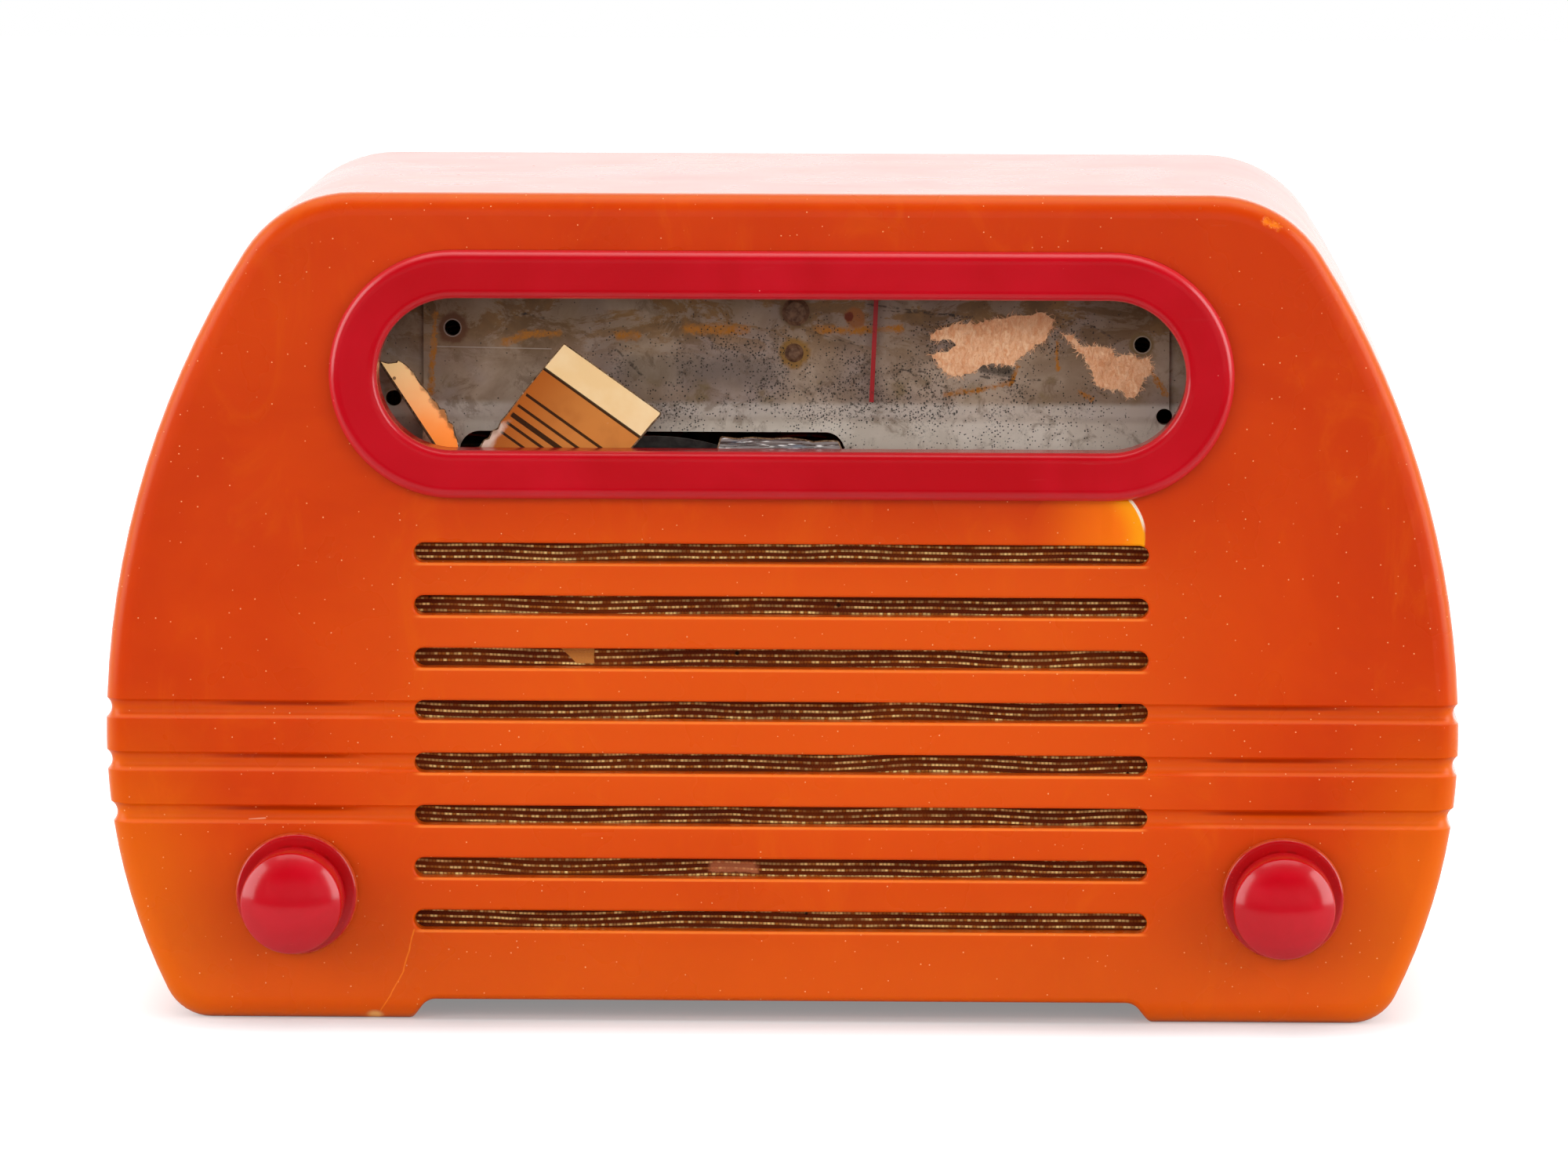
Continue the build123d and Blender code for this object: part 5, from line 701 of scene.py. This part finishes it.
def broken_glass(node, name, outline, lean, print_finish):
    """A fragment cut to its broken outline, as thick as the glass, with its rim chipped, leaning back."""
    tilt = radians(lean)
    upward = Vector((0, sin(tilt), cos(tilt)))
    facing = Vector((0, -cos(tilt), sin(tilt)))
    foot = Vector((0, GLASS_FOOT[0] + GLASS_THICKNESS * cos(tilt), GLASS_FOOT[1]))
    bpy.ops.object.select_all(action="DESELECT")
    bpy.ops.mesh.primitive_circle_add(vertices=len(outline), radius=0.01, fill_type="NGON")
    fragment = bpy.context.object
    fragment.name = name
    for vertex, (across, along) in zip(fragment.data.vertices, outline):
        vertex.co = (foot + Vector((across, 0, 0)) + upward * along) / 1000
    bpy.ops.object.mode_set(mode="EDIT")
    bpy.ops.mesh.select_all(action="SELECT")
    bpy.ops.mesh.extrude_region_move(
        TRANSFORM_OT_translate={"value": facing * GLASS_THICKNESS / 1000}
    )
    bpy.ops.mesh.select_all(action="SELECT")
    bpy.ops.mesh.normals_make_consistent(inside=False)
    bpy.ops.mesh.bevel(offset=RIM_CHIP, segments=1, affect="EDGES")
    bpy.ops.object.mode_set(mode="OBJECT")
    fragment.data.materials.append(print_finish)
    fragment.data.materials.append(glass_break)
    for face in fragment.data.polygons:
        face.material_index = 0 if abs(face.normal.dot(facing)) > 0.95 else 1
    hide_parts(node)
    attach(fragment, "cabinet")
    return fragment


glass_break, shader, place, x, y, z = new_finish("broken_glass_edge")
ridges = cloud(stretched(place, 1.0, 0.3, 1.0), 0.9, 4.0, 0.7, 1.5)
colour = layer(rise(ridges, 0.35, 0.6), rgb(52, 36, 26), rgb(150, 118, 88))
# Painted glints: pale flecks on the ridges of the breaks.
colour = layer(rise(ridges, 0.6, 0.72), colour, rgb(240, 226, 206))
finish_with(shader, Base_Color=colour, Roughness=0.08 + ridges * 0.2, Normal=relief(ridges, 0.3, 0.9))

scale_print, shader, place, x, y, z = new_finish("printed_scale_glass")
EDGE_CORNER, EDGE_RUN = (-44.1, 136.53), Vector((0.8185, -0.5745))
fade = cloud(place, 9.0, 3.0)
fault = (cloud(place, 1.6, 3.0) - 0.5) * 1.2
from_edge = (x - EDGE_CORNER[0]) * EDGE_RUN.y - (z - EDGE_CORNER[1]) * EDGE_RUN.x
along_edge = (x - EDGE_CORNER[0]) * EDGE_RUN.x + (z - EDGE_CORNER[1]) * EDGE_RUN.y
amber = layer(rise(along_edge, -4.0, 16.0), rgb(170, 86, 20), rgb(206, 128, 56))
amber = layer(rise(fade, 0.5, 0.72) * 0.35, amber, rgb(160, 86, 28))
cream = layer(rise(fade, 0.35, 0.7), rgb(244, 206, 148), rgb(250, 220, 170))
colour = layer(rise(from_edge, 6.1, 6.3), cream, amber)
SCALE_LINES = ((6.3, 0.3), (12.6, 0.28), (15.3, 0.28), (17.5, 0.5), (19.4, 0.28), (21.6, 0.26))
for line_place, half_width in SCALE_LINES:
    line = rise(abs(from_edge - line_place), half_width + 0.06, half_width - 0.04)
    if line_place > 7.0:
        line = line * rise(along_edge + fault, -0.6, -0.2)
    colour = layer(line * 0.94, colour, rgb(34, 22, 14))
bared = rise(x - (z - 115.0) * 0.72 + fault * 1.6, -58.6, -60.4) * rise(z + fault * 2.0, 121.4, 119.8)
colour = layer(bared, colour, layer(rise(fade, 0.4, 0.6), rgb(148, 106, 76), rgb(222, 196, 178)))
scratches = rise(cloud(stretched(place, 0.3, 1.0, 1.2), 1.1, 3.0), 0.7, 0.78)
colour = layer(scratches * 0.4, colour, rgb(244, 226, 196))
finish_with(shader, Base_Color=colour, Roughness=0.1 + fade * 0.06 + scratches * 0.2)
finish_with(shader, Normal=relief(fade * 0.3 + bared * fault, 0.1, 0.6))
finish_with(shader, Coat_Weight=0.5, Coat_Roughness=0.05)
LARGE_FRAGMENT = (
    (-61.0, 0.0), (-62.6, 3.0), (-61.7, 4.4), (-60.9, 4.6), (-60.2, 6.0), (-59.2, 6.3), (-58.6, 7.8),
    (-57.4, 8.3), (-56.9, 9.7), (-55.6, 11.2), (-52.4, 15.5), (-48.4, 20.4), (-44.1, 25.6), (-24.3, 11.6),
    (-24.6, 10.9), (-26.2, 9.2), (-28.3, 6.6), (-30.6, 3.9), (-33.6, 0.0),
)
large_fragment = broken_glass(
    "scale_fragment_large", "scale_piece_large", LARGE_FRAGMENT, LARGE_LEAN, scale_print
)

orange_print, shader, place, x, y, z = new_finish("sunned_scale_glass")
fade = cloud(place, 6.0, 3.0)
colour = layer(rise(z + (fade - 0.5) * 4.0, 134.0, 116.0), rgb(255, 212, 150), rgb(255, 140, 54))
edge_way = rise(x + (z - 122.5) * 0.72 + (cloud(place, 1.4, 3.0) - 0.5) * 2.4, -70.0, -68.9)
colour = layer(edge_way * 0.7, colour, rgb(110, 66, 34))
spot = rise(from_point(x, z, (-78.6, 129.2)), 0.45, 0.25)
colour = layer(spot * 0.8, colour, rgb(70, 44, 26))
finish_with(shader, Base_Color=colour, Roughness=0.16 + fade * 0.1, Normal=relief(fade, 0.08, 0.5))
# Painted light: the fragment glows faintly in its own colour, as if lit through from behind.
finish_with(shader, Coat_Weight=0.4, Coat_Roughness=0.06, Emission_Color=colour, Emission_Strength=0.2)
SMALL_FRAGMENT = (
    (-67.2, 0.0), (-82.0, 22.4), (-79.9, 21.8), (-78.3, 22.0), (-78.0, 22.6), (-77.0, 22.0), (-75.9, 21.2),
    (-74.5, 19.6), (-73.7, 18.2), (-73.1, 17.3), (-71.7, 15.9), (-70.9, 14.5), (-69.7, 13.4), (-69.2, 12.2),
    (-68.2, 12.2), (-67.6, 10.6), (-67.3, 9.4), (-66.4, 8.9), (-65.9, 6.6), (-65.4, 5.6), (-65.1, 4.0),
    (-64.4, 1.8), (-63.6, 0.0),
)
small_fragment = broken_glass(
    "scale_fragment_small", "scale_piece_small", SMALL_FRAGMENT, SMALL_LEAN, orange_print
)

clear_glass, shader, place, x, y, z = new_finish("clear_scale_glass")
layers = cloud(stretched(place, 0.12, 1.0, 2.2), 1.2, 4.0, 0.65, 0.6)
painted_glints = rise(cloud(stretched(place, 0.35, 1.0, 3.0), 1.6, 3.0), 0.56, 0.66)
# The glass's own brown, laid in layers with painted dark and pale reflections.
colour = layer(rise(layers, 0.36, 0.62), rgb(66, 44, 34), rgb(176, 168, 164))
# Painted reflection: bluish streaks.
painted_blue_reflection = rise(cloud(stretched(place, 0.2, 1.0, 2.0), 2.6), 0.56, 0.68)
colour = layer(painted_blue_reflection * 0.5, colour, rgb(96, 138, 176))
# Painted glints: white streaks, which are also less see-through.
colour = layer(painted_glints, colour, rgb(250, 248, 244))
finish_with(shader, Base_Color=colour, Roughness=0.06 + layers * 0.1, Alpha=0.62 + painted_glints * 0.38)
finish_with(shader, Normal=relief(layers, 0.4, 0.9))
CLEAR_FRAGMENT = (
    (-14.4, 0.0), (-12.4, 6.9), (-9.0, 6.5), (-6.2, 6.8), (-2.0, 6.5), (1.4, 6.7), (5.0, 6.3), (6.2, 5.9),
    (8.8, 6.2), (11.4, 6.1), (12.2, 4.2), (13.6, 0.0),
)
clear_fragment = broken_glass(
    "scale_fragment_clear", "scale_piece_clear", CLEAR_FRAGMENT, CLEAR_LEAN, clear_glass
)

# Back panel: perforated brown hardboard, held in the cabinet's rebate by four round-head screws.
# The loop antenna is wound of cotton-covered wire on its inside, and a rubber grommet sits at its foot.
SCREEN_PITCH, LOOP_WIRE = 1.1, 0.95
panel_board, shader, place, x, y, z = new_finish("brown_hardboard")
pressed = cloud(stretched(place, 0.5, 1.0, 1.0), 0.9, 5.0, 0.7, 0.8)
stain = cloud(place, 44.0, 4.0)
colour = layer(rise(pressed, 0.3, 0.7), rgb(70, 42, 24), rgb(116, 74, 42))
colour = layer(rise(stain, 0.48, 0.72) * 0.5, colour, rgb(58, 34, 20))
edge_wear = rise(z, 12.0, 6.0)
colour = layer(edge_wear * 0.5, colour, rgb(146, 104, 66))
lint = specks(place, 6.0, 0.24)
colour = layer(lint * 0.5, colour, rgb(176, 150, 116))
mesh_mark = from_middle(x / SCREEN_PITCH) + from_middle(z / SCREEN_PITCH)
finish_with(shader, Base_Color=colour, Roughness=0.6 + pressed * 0.2)
finish_with(shader, Normal=relief(pressed * 0.6 + mesh_mark * 0.3, 0.12, 0.8))
coat_nodes(panel_board, "back_panel")
coat_nodes(fixing_steel, "back_panel_screws")
LOOP_CENTRE, LOOP_HALF, LOOP_CORNER = (0.0, 88.0), (95.0, 52.0), 24.0
loop_winding, shader, place, x, y, z = new_finish("cotton_covered_loop_wire")
reach_x = abs(x - LOOP_CENTRE[0]) - (LOOP_HALF[0] - LOOP_CORNER)
reach_z = abs(z - LOOP_CENTRE[1]) - (LOOP_HALF[1] - LOOP_CORNER)
corner_x, corner_z = reach_x.math("MAXIMUM", reach_x, 0.0), reach_z.math("MAXIMUM", reach_z, 0.0)
straight = reach_x.math("MINIMUM", reach_x.math("MAXIMUM", reach_x, reach_z), 0.0)
from_rim = LOOP_CORNER - (corner_x * corner_x + corner_z * corner_z) ** 0.5 - straight
wire_round = 1.0 - from_middle(from_rim / LOOP_WIRE) * 2.0
cotton = cloud(place, 0.7, 4.0)
colour = layer(rise(wire_round, 0.0, 0.6), rgb(40, 26, 12), rgb(142, 106, 52))
colour = layer(rise(cotton, 0.45, 0.7) * 0.4, colour, rgb(172, 140, 84))
finish_with(shader, Base_Color=colour, Roughness=0.66 + cotton * 0.2, Normal=relief(wire_round, 0.4, 0.9))
coat_nodes(loop_winding, "loop_antenna")
coat_nodes(aged("perished_rubber", (16, 14, 13), (44, 40, 36), 1.3, 0.6, 0.0, 0.1), "cord_grommet")

# Knobs: turned from red resin, a wide flange with a domed cap, pushed on the two shafts.
# Fingers have polished the caps; the flange is painted darker as shade, deepest in the corner round the
# cap, and its rim carries a painted highlight that is rough like dust.
KNOB_MIDDLE, KNOB_SPREAD, KNOB_HEIGHT = 1.86, 99.42, 26.0
CAP_EDGE, FLANGE_EDGE = 9.6, 12.25
knob_resin, shader, place, x, y, z = new_finish("red_knob_resin")
mottle = cloud(place, 16.0, 4.0, 0.6, 0.5)
colour = layer(rise(mottle, 0.3, 0.75), rgb(184, 0, 18), rgb(200, 6, 30))
from_axis = from_point(abs(x - KNOB_MIDDLE), z, (KNOB_SPREAD, KNOB_HEIGHT))
flange = rise(y, -67.5, -66.0)
rubbed = specks(place, 0.8, 0.2) * rise(cloud(place, 7.0), 0.4, 0.65)
# Painted shade: the flange is painted a darker red, with rubbed lighter specks.
colour = layer(flange * 0.7, colour, layer(rubbed * 0.6, rgb(172, 0, 0), rgb(226, 44, 16)))
# Painted shade: a darker ring in the corner where the cap meets the flange.
grime_and_shade = rise(abs(from_axis - CAP_EDGE), 0.8, 0.2) * rise(cloud(place, 3.0), 0.4, 0.6) * flange
colour = layer(grime_and_shade * 0.5, colour, rgb(120, 12, 6))
# Painted highlight: a lighter orange line along the flange's rim, also rough like dust.
rim_dust_and_highlight = rise(from_axis + (cloud(place, 1.4) - 0.5) * 0.5, FLANGE_EDGE - 0.3, FLANGE_EDGE) * flange
colour = layer(rim_dust_and_highlight * 0.65, colour, rgb(210, 92, 40))
dust = specks(place, 3.2, 0.15)
streaks = cloud(stretched(place, 0.3, 1.0, 1.0), 0.9, 2.0)
nicks = rise(streaks, 0.7, 0.76) * rise(cloud(place, 9.0), 0.5, 0.62)
colour = layer(dust * 0.5, colour, rgb(255, 176, 150))
colour = layer(nicks * 0.4, colour, rgb(232, 92, 84))
gloss = 0.15 + mottle * 0.06 + nicks * 0.12 + (dust + rim_dust_and_highlight * 0.6) * 0.3
surface = mottle * 0.02 + dust * 0.05 - nicks * 0.02
finish_with(shader, Base_Color=colour, Roughness=gloss, Normal=relief(surface, 1.0, 0.7), IOR=1.52)
finish_with(shader, Subsurface_Weight=0.1, Subsurface_Radius=(1.0, 0.1, 0.06), Subsurface_Scale=0.003)
for node, body in (("volume_knob", "volume_spindle"), ("tuning_knob", "tuning_control")):
    bpy.ops.object.select_all(action="DESELECT")
    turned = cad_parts[node].copy()
    turned.data = turned.data.copy()
    turned.name = node + "_turned"
    turned.parent = None
    turned.matrix_world = Matrix.Identity(4)
    for tag in [tag for tag in turned.keys() if tag.startswith("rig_")]:
        del turned[tag]
    bpy.context.scene.collection.objects.link(turned)
    bpy.context.view_layer.objects.active = turned
    turned.select_set(True)
    bpy.ops.object.mode_set(mode="EDIT")
    bpy.ops.mesh.select_all(action="SELECT")
    bpy.ops.mesh.remove_doubles(threshold=0.00001)
    bpy.ops.mesh.customdata_custom_splitnormals_clear()
    bpy.ops.object.mode_set(mode="OBJECT")
    bpy.ops.object.shade_smooth_by_angle(angle=radians(40.0))
    turned.data.materials.clear()
    turned.data.materials.append(knob_resin)
    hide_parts(node)
    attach(turned, body)

# Floor: the white paper sheet that the radio stands on, laid flat. It ends a short way in front.
# It has a painted shadow, its glow for the camera falling off under and round the radio,
# and glossy faces see it dark at the front.
FLOOR_HALF_WIDTH, FLOOR_FRONT, FLOOR_BACK = 3.0, -1.4, 4.0
SHADE_HALF_WIDTH, SHADE_MIDDLE, SHADE_HALF_DEPTH = 0.105, 0.01125, 0.066


def ray_kinds(tree):
    """A wire of the tree, whether a ray is the camera's, and whether it was mirrored or went through."""
    ray = Wire(tree)
    kinds = ("Is Camera Ray", "Is Glossy Ray", "Is Transmission Ray")
    camera_ray, mirrored, through = [ray.node("ShaderNodeLightPath", output=kind) for kind in kinds]
    return ray, camera_ray, mirrored + through


bpy.ops.object.select_all(action="DESELECT")
bpy.ops.mesh.primitive_plane_add(size=2.0, location=(0, 0, 0))
floor = bpy.context.object
floor.name = "paper_sweep"
for vertex in floor.data.vertices:
    vertex.co.x *= FLOOR_HALF_WIDTH
    vertex.co.y = FLOOR_BACK if vertex.co.y > 0 else FLOOR_FRONT
paper = bpy.data.materials.new("white_paper")
paper.use_nodes = True
shader = paper.node_tree.nodes["Principled BSDF"]
ray, camera_ray, mirror_ray = ray_kinds(paper.node_tree)
metres = ray.node("ShaderNodeTexCoord", output="Object")
across, onward = [ray.node("ShaderNodeSeparateXYZ", values={0: metres}, output=axis) for axis in range(2)]
past_side = ray.math("MAXIMUM", abs(across) - SHADE_HALF_WIDTH, 0.0)
past_front = ray.math("MAXIMUM", abs(onward - SHADE_MIDDLE) - SHADE_HALF_DEPTH, 0.0)
away = (past_side * past_side + past_front * past_front) ** 0.5
behind = rise(onward, -0.1, 0.3)
lit = layer(rise(onward, -0.12, -0.3), (0.6, 0.6, 0.6, 1), (0.3, 0.3, 0.3, 1))
lit = layer(rise(onward, -0.2, -0.32) * mirror_ray, lit, (0.02, 0.02, 0.02, 1))
# Painted shadow: for the camera the floor glows at a quarter under and round the radio, rising to full 5 cm
# away.
glow = camera_ray * (0.24 + rise(away, 0.0, 0.05) * 0.76) + mirror_ray * behind
finish_with(shader, Base_Color=lit, Roughness=0.9, Specular_IOR_Level=0.0, Emission_Strength=1.0)
finish_with(shader, Emission_Color=layer(glow, (0, 0, 0, 1), (1, 1, 1, 1)))
floor.data.materials.append(paper)

# Studio: a bright wall behind, soft boxes at both sides and overhead, and a dim room before the radio.
# Three more boxes light the front, and glossy faces don't mirror them.
TARGET = Vector((0.0, 0.0, 0.09))


def soft_box(name, place, size, radiance, mirrored=True):
    """A lamp of this width and height in metres, turned to the radio, that the camera doesn't see."""
    lamp = bpy.data.lights.new(name, "AREA")
    lamp.shape = "RECTANGLE"
    lamp.size, lamp.size_y = size
    lamp.energy = radiance * pi * size[0] * size[1]
    box = bpy.data.objects.new(name, lamp)
    bpy.context.scene.collection.objects.link(box)
    box.location = place
    box.rotation_euler = (TARGET - Vector(place)).to_track_quat("-Z", "Y").to_euler()
    box.visible_camera = False
    box.visible_glossy = mirrored


soft_box("front_box", (0.0, -2.3, 0.7), (2.4, 1.4), 1.7, mirrored=False)
soft_box("left_box", (-1.15, -1.3, 0.5), (0.8, 0.9), 3.3, mirrored=False)
soft_box("right_box", (1.15, -1.3, 0.5), (0.8, 0.9), 3.1, mirrored=False)
soft_box("left_side", (-1.3, -0.2, 0.6), (0.8, 1.2), 2.8)
soft_box("right_side", (1.3, -0.2, 0.6), (0.8, 1.2), 3.6)
soft_box("back_wall", (0.0, 1.7, 0.55), (3.2, 1.5), 1.2)
soft_box("overhead", (0.0, 0.0, 1.5), (1.4, 0.9), 1.2)

world = bpy.data.worlds.new("studio")
bpy.context.scene.world = world
world.use_nodes = True
background = world.node_tree.nodes["Background"]
ray, camera_ray, mirror_ray = ray_kinds(world.node_tree)
direction = ray.node("ShaderNodeTexCoord", output="Generated")
ahead = direction.node("ShaderNodeSeparateXYZ", values={0: direction}, output=1)
room = 0.008 + rise(ahead, -0.7, 0.2) * 0.99
strength = camera_ray + (1.0 - camera_ray) * (mirror_ray * room + (1.0 - mirror_ray) * 0.3)
ray.plug(background.inputs["Strength"], strength)
background.inputs["Color"].default_value = (1, 1, 1, 1)

# Camera: two metres away behind a long lens, a little above the radio and to its right.
# It looks down by six degrees at the middle of the front.
AIM = Vector((0.00062, -0.05875, 0.08821))
DISTANCE, PITCH, YAW, ROLL = 2.05, radians(5.88), radians(1.59), radians(0.12)
FOCAL_LENGTH, SENSOR_WIDTH = 234.0, 36.0
back = Vector((sin(YAW) * cos(PITCH), -cos(YAW) * cos(PITCH), sin(PITCH)))
level = Vector((0, 0, 1)).cross(back).normalized()
upright = back.cross(level)
right = level * cos(ROLL) + upright * sin(ROLL)
up = upright * cos(ROLL) - level * sin(ROLL)
lens = bpy.data.cameras.new("long_lens")
lens.lens, lens.sensor_width, lens.sensor_fit = FOCAL_LENGTH, SENSOR_WIDTH, "HORIZONTAL"
camera = bpy.data.objects.new("long_lens", lens)
bpy.context.scene.collection.objects.link(camera)
stand = AIM + back * DISTANCE
camera.matrix_world = Matrix(
    [[right[row], up[row], back[row], stand[row]] for row in range(3)] + [[0, 0, 0, 1]]
)
bpy.context.scene.camera = camera
bpy.context.scene.view_settings.view_transform = "Standard"
